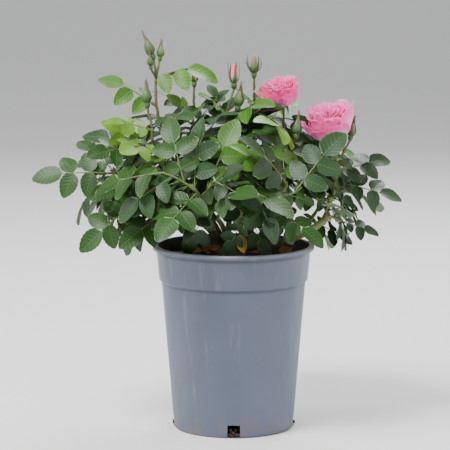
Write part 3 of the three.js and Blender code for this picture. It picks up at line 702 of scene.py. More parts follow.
def grow_bush():
    """Grows in the solids' order, as what comes first takes the room, and then more finely."""
    root = vec([ROOTSTOCK["x"], ROOTSTOCK["y"], ROOTSTOCK_Z + CANE_ROOT["height"]])
    canes = {}
    space = Space()
    for i, (name, cane) in enumerate(CANES.items()):
        lean = unit((vec(cane["to"]) - root) * [1, 1, 0])
        canes[name] = Curve(root + CANE_ROOT["outward"] * lean, cane["to"], cane["bow"])
        space.take_along(canes[name], cane["radius"], FIRST_CANE + i)
    shoots = [Shoot(name, plan, i, canes, space) for i, (name, plan) in enumerate(SHOOTS.items())]
    for shoot in shoots:
        shoot.grow_placed_leaves(space, shoot.plan["leaves"], SEEDS["placed"])
    for shoot in shoots:
        size = (TWIG["length"], TWIG["radius"])
        shoot.grow_twigs(space, shoot.plan["twigs"], SEEDS["twig"], size, shoot.twigs)
    slots = [s.slots([s.curve] + s.twigs, HABIT["spacing"], SEEDS["slot"]) for s in shoots]
    fill_in(shoots, slots, lambda shoot, slot: shoot.grow_leaf(space, slot))
    for shoot in shoots:
        leaves = UPPER_LEAVES.get(shoot.name, [])
        shoot.grow_placed_leaves(space, leaves, FINISH_SEEDS["upper_leaves"], FINE["placed_room"])
    grow_finer(shoots, space)
    open_the_front(shoots, canes[PRUNED_CANE])
    return canes, shoots


def hides_the_mix(leaf):
    """Whether a leaf hangs low over the front of the pot, where the photo looks through to the mix."""
    x, y, _ = leaf["points"].mean(axis=0)
    over_pot = math.hypot(x, y) < WINDOW["radius"] and y < WINDOW["back_y"]
    return over_pot and leaf["points"][:, 2].min() < WINDOW["foot_z"]


def hides_the_cane(leaf, cane):
    """Whether a leaf stands before the pruned cane's end, as the photo looks at it from a little above."""
    x, y, z = leaf["points"].T
    for t in WINDOW["cane_places"]:
        place = cane.point(t)
        ahead = place[1] - y
        gap = np.hypot(x - place[0], z - ahead * WINDOW["look_down"] - place[2])
        if np.any((gap < WINDOW["cane_room"]) & (ahead > -WINDOW["behind"])):
            return True
    return False


def open_the_front(shoots, cane):
    """Takes out the leaves that hide the mix or the cane, but none of the placed ones, which come first."""
    for shoot in shoots:
        first = len(shoot.plan["leaves"])
        hiding = [hides_the_mix(leaf) or hides_the_cane(leaf, cane) for leaf in shoot.leaves]
        shoot.leaves = [leaf for i, leaf in enumerate(shoot.leaves) if i < first or not hiding[i]]


def grow_finer(shoots, space):
    for shoot in shoots:
        size = (FINE["twig_length"], FINE["twig_radius"])
        shoot.grow_twigs(space, FINE["twigs"], FINE["seed"], size, shoot.fine_twigs, FINE["room"])
    for turn in range(FINE["rounds"]):
        first = FINE["seed"] * (turn + 2)
        slots = [s.slots(s.all_stems(), FINE["spacing"], first) for s in shoots]
        how = (FINE["sizes"], FINE["room"], FINE["reach"])
        fill_in(shoots, slots, lambda shoot, slot: shoot.grow_leaf(space, slot, *how))


# Steps that the materials share

def rgb(red, green, blue):
    return (red, green, blue, 1.0)


def new_material(name):
    material = bpy.data.materials.new(name)
    material.use_nodes = True
    return material, material.node_tree, material.node_tree.nodes["Principled BSDF"]


def feed(tree, value, socket):
    """A link where the value is itself a socket, and a fixed value otherwise."""
    if isinstance(value, bpy.types.NodeSocket):
        tree.links.new(value, socket)
    else:
        socket.default_value = value


def add(tree, kind, inputs=None, **settings):
    """A node with its settings, and its inputs by name or number."""
    node = tree.nodes.new(kind)
    for key, value in settings.items():
        setattr(node, key, value)
    for key, value in (inputs or {}).items():
        feed(tree, value, node.inputs[key])
    return node


def maths(tree, operation, a, b):
    return add(tree, "ShaderNodeMath", {0: a, 1: b}, operation=operation).outputs[0]


def times(tree, a, b):
    return maths(tree, "MULTIPLY", a, b)


def ramp(tree, value, low, high, out_low=0.0, out_high=1.0):
    """value carried from low..high to out_low..out_high, with smooth ends."""
    inputs = {0: value, 1: low, 2: high, 3: out_low, 4: out_high}
    return add(tree, "ShaderNodeMapRange", inputs, interpolation_type="SMOOTHSTEP").outputs[0]


def mixed(tree, mask, under, over):
    return add(tree, "ShaderNodeMix", {0: mask, 6: under, 7: over}, data_type="RGBA").outputs[2]


def layered(tree, colour, *layers):
    """A colour with others laid over it one after the other, each by its own mask."""
    for mask, over in layers:
        colour = mixed(tree, mask, colour, over)
    return colour


def shaded(tree, colour, factor):
    """A colour made lighter or darker by a varying factor."""
    plain = colour if isinstance(colour, bpy.types.NodeSocket) else colour[:3]
    return add(tree, "ShaderNodeVectorMath", {0: plain, "Scale": factor}, operation="SCALE").outputs[0]


def object_point(tree):
    return add(tree, "ShaderNodeTexCoord").outputs["Object"]


def height_on(tree):
    """The height above the pot's foot, in metres."""
    return add(tree, "ShaderNodeSeparateXYZ", {0: object_point(tree)}).outputs[2]


def place_on_blade(tree):
    """How far along and how far across its leaf, sepal or petal a point lies, by the piece's own map."""
    place = add(tree, "ShaderNodeUVMap", uv_map="blade").outputs[0]
    parts = add(tree, "ShaderNodeSeparateXYZ", {0: place}).outputs
    return parts[0], parts[1]


def noise_of(tree, scale, detail=3.0, roughness=0.55, vector=None):
    inputs = {"Scale": scale, "Detail": detail, "Roughness": roughness}
    inputs["Vector"] = vector or object_point(tree)
    return add(tree, "ShaderNodeTexNoise", inputs).outputs["Fac"]


def drawn_out_noise(tree, scales, detail, roughness):
    """Noise drawn out one way, as streaks, runs, scratches and fibres are."""
    place = add(tree, "ShaderNodeMapping", {"Vector": object_point(tree), "Scale": scales})
    return noise_of(tree, 1.0, detail, roughness, place.outputs[0])


def paint(tree, shader, colour, roughness):
    feed(tree, colour, shader.inputs["Base Color"])
    feed(tree, roughness, shader.inputs["Roughness"])


def bump(tree, shader, height, strength, distance):
    node = add(tree, "ShaderNodeBump", {"Strength": strength, "Distance": distance, "Height": height})
    tree.links.new(node.outputs[0], shader.inputs["Normal"])


# Shared effects

def new_group(name, inputs, outputs):
    """An empty shader group with number inputs {name: default} and number outputs."""
    tree = bpy.data.node_groups.new(name, "ShaderNodeTree")
    for key, value in inputs.items():
        socket = tree.interface.new_socket(name=key, in_out="INPUT", socket_type="NodeSocketFloat")
        socket.default_value = value
    for key in outputs:
        tree.interface.new_socket(name=key, in_out="OUTPUT", socket_type="NodeSocketFloat")
    return tree, tree.nodes.new("NodeGroupInput").outputs, tree.nodes.new("NodeGroupOutput").inputs


def use_group(tree, group, **inputs):
    node = tree.nodes.new("ShaderNodeGroup")
    node.node_tree = group
    for key, value in inputs.items():
        node.inputs[key].default_value = value
    return node.outputs


def make_leaf_veins():
    """Midrib and slanting side veins with a fine net between, the blade's swelling and its margin."""
    sizes = {"Side veins": 7.0, "Slant": 2.6, "Midrib": 0.035, "Vein": 0.13}
    tree, given, result = new_group("leaf_veins", sizes, ["Vein", "Quilt", "Margin"])
    along, over = place_on_blade(tree)
    from_midrib = maths(tree, "ABSOLUTE", maths(tree, "SUBTRACT", over, 0.5), 0.0)
    slant = times(tree, maths(tree, "POWER", from_midrib, 0.8), given["Slant"])
    wander = times(tree, noise_of(tree, 90.0, 1.0), 0.5)
    phase = maths(tree, "SUBTRACT", times(tree, along, given["Side veins"]), slant)
    saw = maths(tree, "PINGPONG", maths(tree, "ADD", phase, wander), 0.5)
    fading = ramp(tree, from_midrib, 0.5, 0.25)
    side_vein = times(tree, times(tree, ramp(tree, saw, given["Vein"], 0.0), fading), 0.6)
    midrib = ramp(tree, from_midrib, given["Midrib"], 0.0)
    cells = add(tree, "ShaderNodeTexVoronoi", {"Vector": object_point(tree), "Scale": 420.0},
                feature="DISTANCE_TO_EDGE").outputs["Distance"]
    net = ramp(tree, cells, 0.10, 0.0, 0.0, 0.25)
    vein = maths(tree, "MAXIMUM", maths(tree, "MAXIMUM", midrib, side_vein), net)
    swell = maths(tree, "SUBTRACT", maths(tree, "POWER", times(tree, saw, 2.0), 0.6), midrib)
    tree.links.new(vein, result["Vein"])
    tree.links.new(maths(tree, "ADD", swell, times(tree, cells, 0.6)), result["Quilt"])
    tree.links.new(ramp(tree, from_midrib, 0.44, 0.5), result["Margin"])
    return tree


def make_speckle():
    """Small scattered flecks, such as mud, lenticels or grit, as a mask."""
    tree, given, result = new_group("speckle", {"Scale": 300.0, "Share": 0.3, "Softness": 0.1}, ["Mask"])
    flecks = add(tree, "ShaderNodeTexVoronoi", {"Vector": object_point(tree), "Scale": given["Scale"]})
    wide = maths(tree, "ADD", given["Share"], given["Softness"])
    tree.links.new(ramp(tree, flecks.outputs["Distance"], wide, given["Share"]), result["Mask"])
    return tree


def make_tone():
    """Slow change of tone over a surface, from low to high."""
    tree, given, result = new_group("tone", {"Scale": 20.0, "Low": 0.8, "High": 1.2}, ["Tone"])
    patches = noise_of(tree, given["Scale"], 4.0, 0.5)
    inputs = {0: patches, 1: 0.3, 2: 0.7, 3: given["Low"], 4: given["High"]}
    tree.links.new(add(tree, "ShaderNodeMapRange", inputs).outputs[0], result["Tone"])
    return tree


leaf_veins = make_leaf_veins()
speckle = make_speckle()
tone = make_tone()


def flecks_on(tree, scale, share, softness):
    return use_group(tree, speckle, Scale=scale, Share=share, Softness=softness)["Mask"]


def tone_on(tree, scale, low, high):
    return use_group(tree, tone, Scale=scale, Low=low, High=high)["Tone"]


# Materials

# Each tint's blade and its veins. The lighter tints also stand for painted light on leaves high and outside
# in the crown, the dark one for painted shade on those inside.
LEAF_TINTS = {
    "dark": (rgb(0.006, 0.026, 0.003), rgb(0.042, 0.095, 0.018)),
    "mid": (rgb(0.012, 0.053, 0.004), rgb(0.070, 0.150, 0.022)),
    "blue": (rgb(0.012, 0.046, 0.010), rgb(0.080, 0.148, 0.050)),
    "bright": (rgb(0.036, 0.122, 0.004), rgb(0.130, 0.255, 0.028)),
    "young_and_lit": (rgb(0.090, 0.225, 0.006), rgb(0.215, 0.365, 0.045)),
    "yellow": (rgb(0.680, 0.470, 0.025), rgb(0.740, 0.580, 0.110)),
    "withered": (rgb(0.420, 0.170, 0.050), rgb(0.520, 0.270, 0.110)),
}
UNDERSIDE = (rgb(0.120, 0.190, 0.085), rgb(0.20, 0.28, 0.14))


def leaf_material(name, colour, vein_colour, roughness, quilt):
    """A blade in two tones with paler veins and margin, which swells between its veins."""
    material, tree, shader = new_material(name)
    veins = use_group(tree, leaf_veins)
    blade = layered(
        tree,
        shaded(tree, colour, tone_on(tree, scale=28.0, low=0.72, high=1.28)),
        (times(tree, veins["Vein"], 0.65), vein_colour),
        (times(tree, veins["Margin"], 0.5), vein_colour),
    )
    paint(tree, shader, blade, roughness)
    shader.inputs["Specular IOR Level"].default_value = 0.38
    bump(tree, shader, veins["Quilt"], strength=0.35, distance=quilt)
    return material


def make_leaf_materials():
    under = leaf_material("leaf_underside", *UNDERSIDE, roughness=0.62, quilt=0.0003)
    return {
        name: (leaf_material(f"leaf_{name}", *tint, roughness=0.47, quilt=0.0004), under)
        for name, tint in LEAF_TINTS.items()
    }


def stem_material():
    """Green rind that turns reddish brown in places, with pale flecks."""
    material, tree, shader = new_material("green_stem")
    green, red, pale = rgb(0.115, 0.170, 0.040), rgb(0.160, 0.060, 0.030), rgb(0.24, 0.26, 0.12)
    patches = ramp(tree, tone_on(tree, scale=16.0, low=0.0, high=1.0), 0.45, 0.95)
    flecks = flecks_on(tree, scale=700.0, share=0.12, softness=0.1)
    paint(tree, shader, layered(tree, green, (patches, red), (times(tree, flecks, 0.35), pale)), 0.48)
    bump(tree, shader, noise_of(tree, 500.0), strength=0.3, distance=0.0003)
    return material


# Heights between which a cane's bark turns from brown at its foot to green.
OLD_BARK = {"brown_z": 205, "green_z": 262}


def cane_material():
    """Older rind: olive green with brown streaks along the cane and lenticels, and brown at the foot."""
    material, tree, shader = new_material("cane_bark")
    olive, brown, lenticel = rgb(0.150, 0.190, 0.050), rgb(0.105, 0.060, 0.032), rgb(0.34, 0.29, 0.19)
    grain = drawn_out_noise(tree, (220.0, 220.0, 30.0), 5.0, 0.6)
    old = ramp(tree, height_on(tree), OLD_BARK["green_z"] * MM, OLD_BARK["brown_z"] * MM)
    brownness = maths(tree, "ADD", times(tree, old, 0.65), ramp(tree, grain, 0.45, 0.75, 0.0, 0.6))
    lenticels = flecks_on(tree, scale=420.0, share=0.10, softness=0.08)
    colour = layered(tree, olive, (brownness, brown), (times(tree, lenticels, 0.3), lenticel))
    paint(tree, shader, colour, 0.62)
    bump(tree, shader, grain, strength=0.6, distance=0.0008)
    return material


def cut_material():
    """The dried brown end of a pruned cane, with its paler pith."""
    material, tree, shader = new_material("pruned_end")
    grain = noise_of(tree, 900.0, 4.0)
    pith = ramp(tree, grain, 0.4, 0.65)
    paint(tree, shader, mixed(tree, pith, rgb(0.130, 0.070, 0.038), rgb(0.340, 0.230, 0.130)), 0.8)
    bump(tree, shader, grain, strength=0.5, distance=0.0005)
    return material


def prickle_material():
    material, tree, shader = new_material("prickle")
    reddish = rgb(0.300, 0.095, 0.045)
    paint(tree, shader, shaded(tree, reddish, tone_on(tree, scale=120.0, low=0.6, high=1.3)), 0.42)
    return material


def sepal_material():
    """Green sepals and hips, reddish towards the sepals' tips."""
    material, tree, shader = new_material("sepal")
    along, _ = place_on_blade(tree)
    reddish = ramp(tree, along, 0.55, 0.97, 0.0, 0.7)
    colour = mixed(tree, reddish, rgb(0.068, 0.130, 0.038), rgb(0.220, 0.075, 0.045))
    paint(tree, shader, shaded(tree, colour, tone_on(tree, scale=60.0, low=0.8, high=1.2)), 0.5)
    bump(tree, shader, noise_of(tree, 600.0), strength=0.3, distance=0.0003)
    return material


def petal_material(name, claw, middle, rim):
    """A petal's colour runs from its claw to its rim, with faint darker veins that fan out."""
    material, tree, shader = new_material(name)
    along, across = place_on_blade(tree)
    fan = maths(tree, "PINGPONG", times(tree, across, 46.0), 0.5)
    colour = layered(
        tree,
        claw,
        (ramp(tree, along, 0.0, 0.5), middle),
        (ramp(tree, along, 0.45, 1.0), rim),
        (ramp(tree, fan, 0.2, 0.0, 0.0, 0.16), rgb(0.80, 0.10, 0.32)),
    )
    paint(tree, shader, colour, 0.55)
    shader.inputs["Sheen Weight"].default_value = 0.25
    shader.inputs["Subsurface Weight"].default_value = 0.5
    shader.inputs["Subsurface Radius"].default_value = (1.0, 0.45, 0.7)
    shader.inputs["Subsurface Scale"].default_value = 0.004
    bump(tree, shader, fan, strength=0.25, distance=0.0004)
    return material


# Mud and painted light on the pot: how high the mud reaches, between which depths below the top the
# rim's edge gets a painted highlight, and where the painted shade under a ledge starts, is full and ends,
# counted from the ledge.
POT_MUD_AND_PAINTED_LIGHT = {"mud": 35, "rim_highlight": [3.5, 0.2], "ledge": [-4.6, -1.6, 1.3]}


def painted_shade_under(tree, height, ledge_z):
    """Painted shade under one of the pot's ledges."""
    start, full, end = [(ledge_z + offset) * MM for offset in POT_MUD_AND_PAINTED_LIGHT["ledge"]]
    below = ramp(tree, height, start, full)
    above = ramp(tree, height, end, ledge_z * MM)
    return times(tree, times(tree, below, above), 0.75)


def pot_material():
    """Cool grey moulded plastic, satin, with scuffs, water marks, specks of dried mud, a painted highlight
    on the rim and painted shade under the lip and the step.
    """
    material, tree, shader = new_material("pot_plastic")
    # The last of these colours is painted shade, for under the lip and the step.
    grey, mud, ledge_shade = rgb(0.090, 0.108, 0.162), rgb(0.15, 0.12, 0.09), rgb(0.035, 0.040, 0.050)
    height = height_on(tree)
    marks = drawn_out_noise(tree, (60.0, 60.0, 7.0), 4.0, 0.6)
    scratches = drawn_out_noise(tree, (420.0, 420.0, 26.0), 3.0, 0.7)
    specks = flecks_on(tree, scale=110.0, share=0.05, softness=0.05)
    dust = noise_of(tree, 700.0, 4.0, 0.8)
    # Where the painted highlight on the rim's top edge starts and ends.
    highlight_from, highlight_to = [(POT["height"] - depth) * MM for depth in POT_MUD_AND_PAINTED_LIGHT["rim_highlight"]]
    low_down = ramp(tree, height, POT_MUD_AND_PAINTED_LIGHT["mud"] * MM, 0.0)
    muddy = times(tree, low_down, ramp(tree, noise_of(tree, 55.0, 5.0), 0.42, 0.6))
    colour = layered(
        tree,
        shaded(tree, grey, tone_on(tree, scale=9.0, low=0.9, high=1.1)),
        (ramp(tree, marks, 0.54, 0.78, 0.0, 0.36), rgb(0.31, 0.32, 0.36)),
        (ramp(tree, scratches, 0.60, 0.75, 0.0, 0.12), rgb(0.34, 0.35, 0.38)),
        (times(tree, specks, 0.6), rgb(0.09, 0.085, 0.08)),
        (ramp(tree, dust, 0.55, 0.75, 0.0, 0.10), rgb(0.36, 0.36, 0.36)),
        # A painted highlight along the rim's top edge.
        (times(tree, ramp(tree, height, highlight_from, highlight_to), 0.55), rgb(0.46, 0.48, 0.51)),
        # Painted shade under the lip and under the step.
        (painted_shade_under(tree, height, POT["height"] - POT["lip_height"]), ledge_shade),
        (painted_shade_under(tree, height, POT["step_z"] - POT["step_height"] * 0.6), ledge_shade),
        (times(tree, muddy, 0.55), mud),
    )
    paint(tree, shader, colour, ramp(tree, marks, 0.35, 0.7, 0.34, 0.56))
    bump(tree, shader, noise_of(tree, 1400.0, 2.0), strength=0.15, distance=0.0002)
    return material


def pot_inside_material():
    """The pot's black inner layer, with splashes of dried compost."""
    material, tree, shader = new_material("pot_inside")
    splash = ramp(tree, noise_of(tree, 160.0, 5.0, 0.7), 0.50, 0.72, 0.0, 0.7)
    paint(tree, shader, mixed(tree, splash, rgb(0.012, 0.012, 0.014), rgb(0.075, 0.062, 0.050)), 0.5)
    return material


def mix_material():
    """Dark moist compost with pale grit."""
    material, tree, shader = new_material("compost")
    moist, dry, pale = rgb(0.010, 0.008, 0.006), rgb(0.060, 0.042, 0.028), rgb(0.30, 0.24, 0.17)
    crumbs = noise_of(tree, 240.0, 8.0, 0.75)
    grit = flecks_on(tree, scale=360.0, share=0.10, softness=0.03)
    colour = layered(tree, moist, (ramp(tree, crumbs, 0.38, 0.66), dry), (times(tree, grit, 0.6), pale))
    paint(tree, shader, colour, 0.9)
    bump(tree, shader, crumbs, strength=0.9, distance=0.003)
    return material


def chip_material(name, dark, light):
    material, tree, shader = new_material(name)
    grain = drawn_out_noise(tree, (900.0, 260.0, 260.0), 5.0, 0.6)
    paint(tree, shader, mixed(tree, ramp(tree, grain, 0.35, 0.65), dark, light), 0.82)
    bump(tree, shader, grain, strength=0.7, distance=0.0006)
    return material


# Pieces from points and faces

# The leaves' and petals' maps for baking have this many cells across and up.
CELLS_ACROSS = 4
CELL_EDGE = 0.04


def numbers_of(items, key, count):
    values = np.zeros(count, np.int32)
    items.foreach_get(key, values)
    return values


def bake_places(mesh, places, cells):
    """Each blade in one of a few cells of a map, one side over the other, so that its veins stay crisp."""
    points = numbers_of(mesh.loops, "vertex_index", len(mesh.loops))
    sides = numbers_of(mesh.polygons, "material_index", len(mesh.polygons))
    corners = numbers_of(mesh.polygons, "loop_total", len(mesh.polygons))
    side = np.repeat(sides, corners)
    inset = CELL_EDGE + (1 - 2 * CELL_EDGE) * places[points]
    cell = cells[points]
    u = (cell % CELLS_ACROSS + inset[:, 0]) / CELLS_ACROSS
    v = (cell // CELLS_ACROSS + (side + inset[:, 1]) / 2) / CELLS_ACROSS
    return np.stack([u, v], axis=1)


def add_map(mesh, name, corner_places):
    layer = mesh.uv_layers.new(name=name)
    layer.data.foreach_set("uv", corner_places.astype(np.float32).ravel())


def mesh_piece(name, vertices, faces, materials, smooth=True,
               slots=None, places=None, sharp=None, cells=None):
    """A piece from points in millimetres: material per face, and map, sharp rim and cell per point."""
    mesh = bpy.data.meshes.new(name)
    mesh.from_pydata((np.asarray(vertices) * MM).tolist(), [], faces)
    for material in materials:
        mesh.materials.append(material)
    if slots is not None:
        mesh.polygons.foreach_set("material_index", np.asarray(slots, np.int32))
    mesh.polygons.foreach_set("use_smooth", np.full(len(mesh.polygons), smooth))
    if places is not None:
        add_map(mesh, "blade", places[numbers_of(mesh.loops, "vertex_index", len(mesh.loops))])
    if cells is not None:
        add_map(mesh, "OFBake", bake_places(mesh, places, cells))
    if sharp is not None:
        ends = numbers_of(mesh.edges, "vertices", len(mesh.edges) * 2)
        flags = sharp[ends].reshape(-1, 2).all(axis=1)
        edges = mesh.attributes.new("sharp_edge", "BOOLEAN", "EDGE")
        edges.data.foreach_set("value", flags)
    mesh.update()
    piece = bpy.data.objects.new(name, mesh)
    bpy.context.scene.collection.objects.link(piece)
    return piece


class Heap:
    """Gathers small meshes of one kind into one piece."""

    def __init__(self):
        self.vertices = []
        self.faces = []
        self.slots = []
        self.places = []
        self.sharp = []
        self.cells = []
        self.count = 0

    def put(self, vertices, faces, slots=None, places=None, sharp=None):
        self.vertices.append(vertices)
        self.faces.extend([tuple(i + self.count for i in face) for face in faces])
        self.slots.extend(slots if slots is not None else [0] * len(faces))
        self.places.append(places if places is not None else np.zeros((len(vertices), 2)))
        self.sharp.append(sharp if sharp is not None else np.zeros(len(vertices), bool))
        self.cells.append(np.full(len(vertices), len(self.cells) % CELLS_ACROSS**2))
        self.count += len(vertices)

    def piece(self, name, materials, smooth=True, in_cells=False):
        cells = np.concatenate(self.cells) if in_cells else None
        return mesh_piece(name, np.vstack(self.vertices), self.faces, materials, smooth, self.slots,
                          np.vstack(self.places), np.concatenate(self.sharp), cells)


def faces_round(rings, sides):
    """Faces of a closed shape whose points come ring by ring, followed by its first and its last point."""
    start, end = rings * sides, rings * sides + 1
    faces = []
    for i in range(sides):
        j = (i + 1) % sides
        for ring in range(0, start - sides, sides):
            faces.append((ring + i, ring + j, ring + sides + j, ring + sides + i))
        faces.append((j, i, start))
        faces.append((start - sides + i, start - sides + j, end))
    return faces


def closed_sheet(top, under, rim, faces, places):
    """A thin closed shape whose upper and under side have the same faces and meet in a sharp rim."""
    inner = np.flatnonzero(~rim)
    lower = np.arange(len(top))
    lower[inner] = len(top) + np.arange(len(inner))
    both = faces + [lower[face[::-1]].tolist() for face in faces]
    slots = [0] * len(faces) + [1] * len(faces)
    sharp = np.concatenate([rim, np.zeros(len(inner), bool)])
    return np.vstack([top, under[inner]]), both, slots, np.vstack([places, places[inner]]), sharp


def tube(points, radii, sides):
    """A closed round rod through points, its ends brought to a small dome."""
    dome = 0.4
    ways = np.gradient(points, axis=0)
    ways /= np.linalg.norm(ways, axis=1)[:, None]
    side = side_of(ways[0])
    angles = np.arange(sides) * FULL_TURN / sides
    rings = []
    for point, way, radius in zip(points, ways, radii):
        side = unit(side - np.dot(side, way) * way)
        other = cross(way, side)
        rings.append(point + radius * (np.cos(angles)[:, None] * side + np.sin(angles)[:, None] * other))
    ends = [points[0] - ways[0] * radii[0] * dome, points[-1] + ways[-1] * radii[-1] * dome]
    return np.vstack(rings + ends), faces_round(len(rings), sides)


def curve_points(curve, steps, end=1.0):
    return np.array([curve.point(end * i / steps) for i in range(steps + 1)])


# Leaves

CELLS = 7
TEETH = 2 * CELLS - 1
# A blade's outline: where it is widest, how its root and tip round off, how its points crowd, how far
# across its half the inner row runs, how far the teeth stand out and in, and how far they lean forwards.
BLADE = {
    "widest": 0.4,
    "root_power": 0.5,
    "tip_power": 0.75,
    "crowding": 0.92,
    "inner_row": 0.55,
    "tooth": 0.035,
    "gap": -0.02,
    "tooth_lean": 0.012,
    "thickness": 0.5,
}
# How blades differ: folded along the midrib, curled down, wavy at the rim, twisted and bent to one side.
BLADE_HABIT = {
    "fold": [0.10, 0.26],
    "curl": [0.05, 0.16],
    "wave": [0.010, 0.035],
    "waves": 9,
    "twist": 0.35,
    "lean": 0.10,
}
ANY_ANGLE = [0, 6.3]


def half_width(u):
    """A leaflet's half width along its length: rounded at the root, pointed at the tip."""
    widest = BLADE["widest"]
    return 0.5 * (u / widest) ** BLADE["root_power"] * ((1 - u) / (1 - widest)) ** BLADE["tip_power"]


def make_blade_faces():
    """Faces over a blade's upper side, with the points of its inner rows and rims, and their number."""
    spine = list(range(CELLS + 1))
    rows, rims = {}, {}
    count = CELLS + 1
    for hand in (1, -1):
        rows[hand] = [spine[0]] + list(range(count, count + CELLS - 1)) + [spine[-1]]
        count += CELLS - 1
        rims[hand] = [spine[0]] + list(range(count, count + TEETH)) + [spine[-1]]
        count += TEETH
    faces = []
    for hand in (1, -1):
        row, rim = rows[hand], rims[hand]
        for i in range(CELLS):
            inner = [spine[i], spine[i + 1], row[i + 1], row[i]]
            outer = [row[i], row[i + 1], rim[2 * i + 2], rim[2 * i + 1], rim[2 * i]]
            for ring in (inner, outer):
                face = [v for k, v in enumerate(ring) if v not in ring[:k]]
                faces.append(face if hand > 0 else face[::-1])
    return faces, rows, rims, count


BLADE_FACES, BLADE_ROWS, BLADE_RIMS, BLADE_COUNT = make_blade_faces()


def make_blade_plan():
    """Each blade point's place along and across, its place across the map, and whether it's on the rim."""
    u = np.zeros(BLADE_COUNT)
    v = np.zeros(BLADE_COUNT)
    across = np.zeros(BLADE_COUNT)
    rim = np.zeros(BLADE_COUNT, bool)
    steps = (np.arange(CELLS + 1) / CELLS) ** BLADE["crowding"]
    u[: CELLS + 1] = steps
    for hand in (1, -1):
        for i in range(1, CELLS):
            index = BLADE_ROWS[hand][i]
            u[index] = steps[i]
            v[index] = hand * BLADE["inner_row"] * half_width(steps[i])
            across[index] = hand * BLADE["inner_row"] / 2
        for i in range(1, TEETH + 1):
            index = BLADE_RIMS[hand][i]
            station = (i / (TEETH + 1)) ** BLADE["crowding"]
            on_tooth = i % 2 == 1
            u[index] = station + (BLADE["tooth_lean"] if on_tooth else 0.0)
            v[index] = hand * half_width(station) * (1 + BLADE["tooth" if on_tooth else "gap"])
            across[index] = hand * 0.5
            rim[index] = True
    rim[0] = True
    rim[CELLS] = True
    return u, v, across, rim


BLADE_U, BLADE_V, BLADE_ACROSS, BLADE_RIM = make_blade_plan()


def blade_mesh(blade, random):
    """A leaflet as a thin closed blade, folded along its midrib, curled down to the tip and wavy."""
    length, width = blade["length"], blade["width"]
    fold, curl, wave, phase = [
        between(random, limits)
        for limits in (BLADE_HABIT["fold"], BLADE_HABIT["curl"], BLADE_HABIT["wave"], ANY_ANGLE)
    ]
    twist = chance(random, BLADE_HABIT["twist"])
    lean = chance(random, BLADE_HABIT["lean"])
    u, v = BLADE_U, BLADE_V
    height = fold * np.abs(v) * width - curl * length * u**2
    waves = np.sin(BLADE_HABIT["waves"] * u + phase + 2 * np.sign(v))
    height += wave * width * np.abs(BLADE_ACROSS) * 2 * waves
    height += twist * v * width * u
    sideways = v * width + lean * width * u * (1 - u) * 2
    spread = np.stack([u * length, sideways, height], axis=1)
    axes = np.stack([blade["direction"], blade["side"], blade["normal"]])
    top = blade["root"] + spread @ axes
    body = 1 - (np.abs(BLADE_ACROSS) * 2) ** 2
    under = top - np.outer(body * BLADE["thickness"], blade["normal"])
    return closed_sheet(top, under, BLADE_RIM, BLADE_FACES, np.stack([u, 0.5 + BLADE_ACROSS], axis=1))


# How much light a leaf gets by its distance from the crown's centre and its height, carried by its tint as
# painted light and shade.
LIGHT = {"outside": 0.55, "low_z": 240, "height": 260, "stray": 0.55}
# The least light for each of the brighter tints, and how many of the other leaves aren't bluish.
LIGHT_FOR = {"young_and_lit": 1.18, "bright": 0.92, "mid": 0.50}
GREEN_SHARE = 0.7


def leaf_tint(leaf, random):
    """Young leaves high and outside get light tints, partly painted light; old ones inside get dark, partly
    painted shade; some are bluish.
    """
    middle = leaf["points"].mean(axis=0)
    outside = np.linalg.norm((middle - vec(CROWN["centre"])) / vec(CROWN["reach"]))
    height = (middle[2] - LIGHT["low_z"]) / LIGHT["height"]
    light = LIGHT["outside"] * outside + height + chance(random, LIGHT["stray"] + max(0, height))
    for tint in ("young_and_lit", "bright"):
        if light > LIGHT_FOR[tint]:
            return tint
    green = "mid" if light > LIGHT_FOR["mid"] else "dark"
    return green if random() < GREEN_SHARE else "blue"


LEAF_STALK = {"radius": [1.15, 0.62], "steps": 6, "sides": 5}
# The two small wings at the foot of a leaf's stalk.
WING = {"spread": 0.35, "size": 0.3, "narrow": 0.45}


def put_leaf(leaf, heap, stems, random):
    """A leaf's five blades, its bent stalk and the wings at the stalk's foot."""
    for blade in leaf["blades"]:
        heap.put(*blade_mesh(blade, random))
    root, bend, end = leaf["joints"]
    scale = leaf["scale"]
    arc = Curve(root, end, (bend - (root + end) / 2) * 0.5)
    radii = np.linspace(*LEAF_STALK["radius"], LEAF_STALK["steps"] + 1) * (0.55 + 0.45 * scale)
    stems.put(*tube(curve_points(arc, LEAF_STALK["steps"]), radii, LEAF_STALK["sides"]))
    for hand in (1, -1):
        way = unit(leaf["direction"] + WING["spread"] * hand * leaf["side"])
        wing = leaflet(root, way, leaf["normal"], WING["size"] * scale)
        wing["width"] *= WING["narrow"]
        heap.put(*blade_mesh(wing, random))


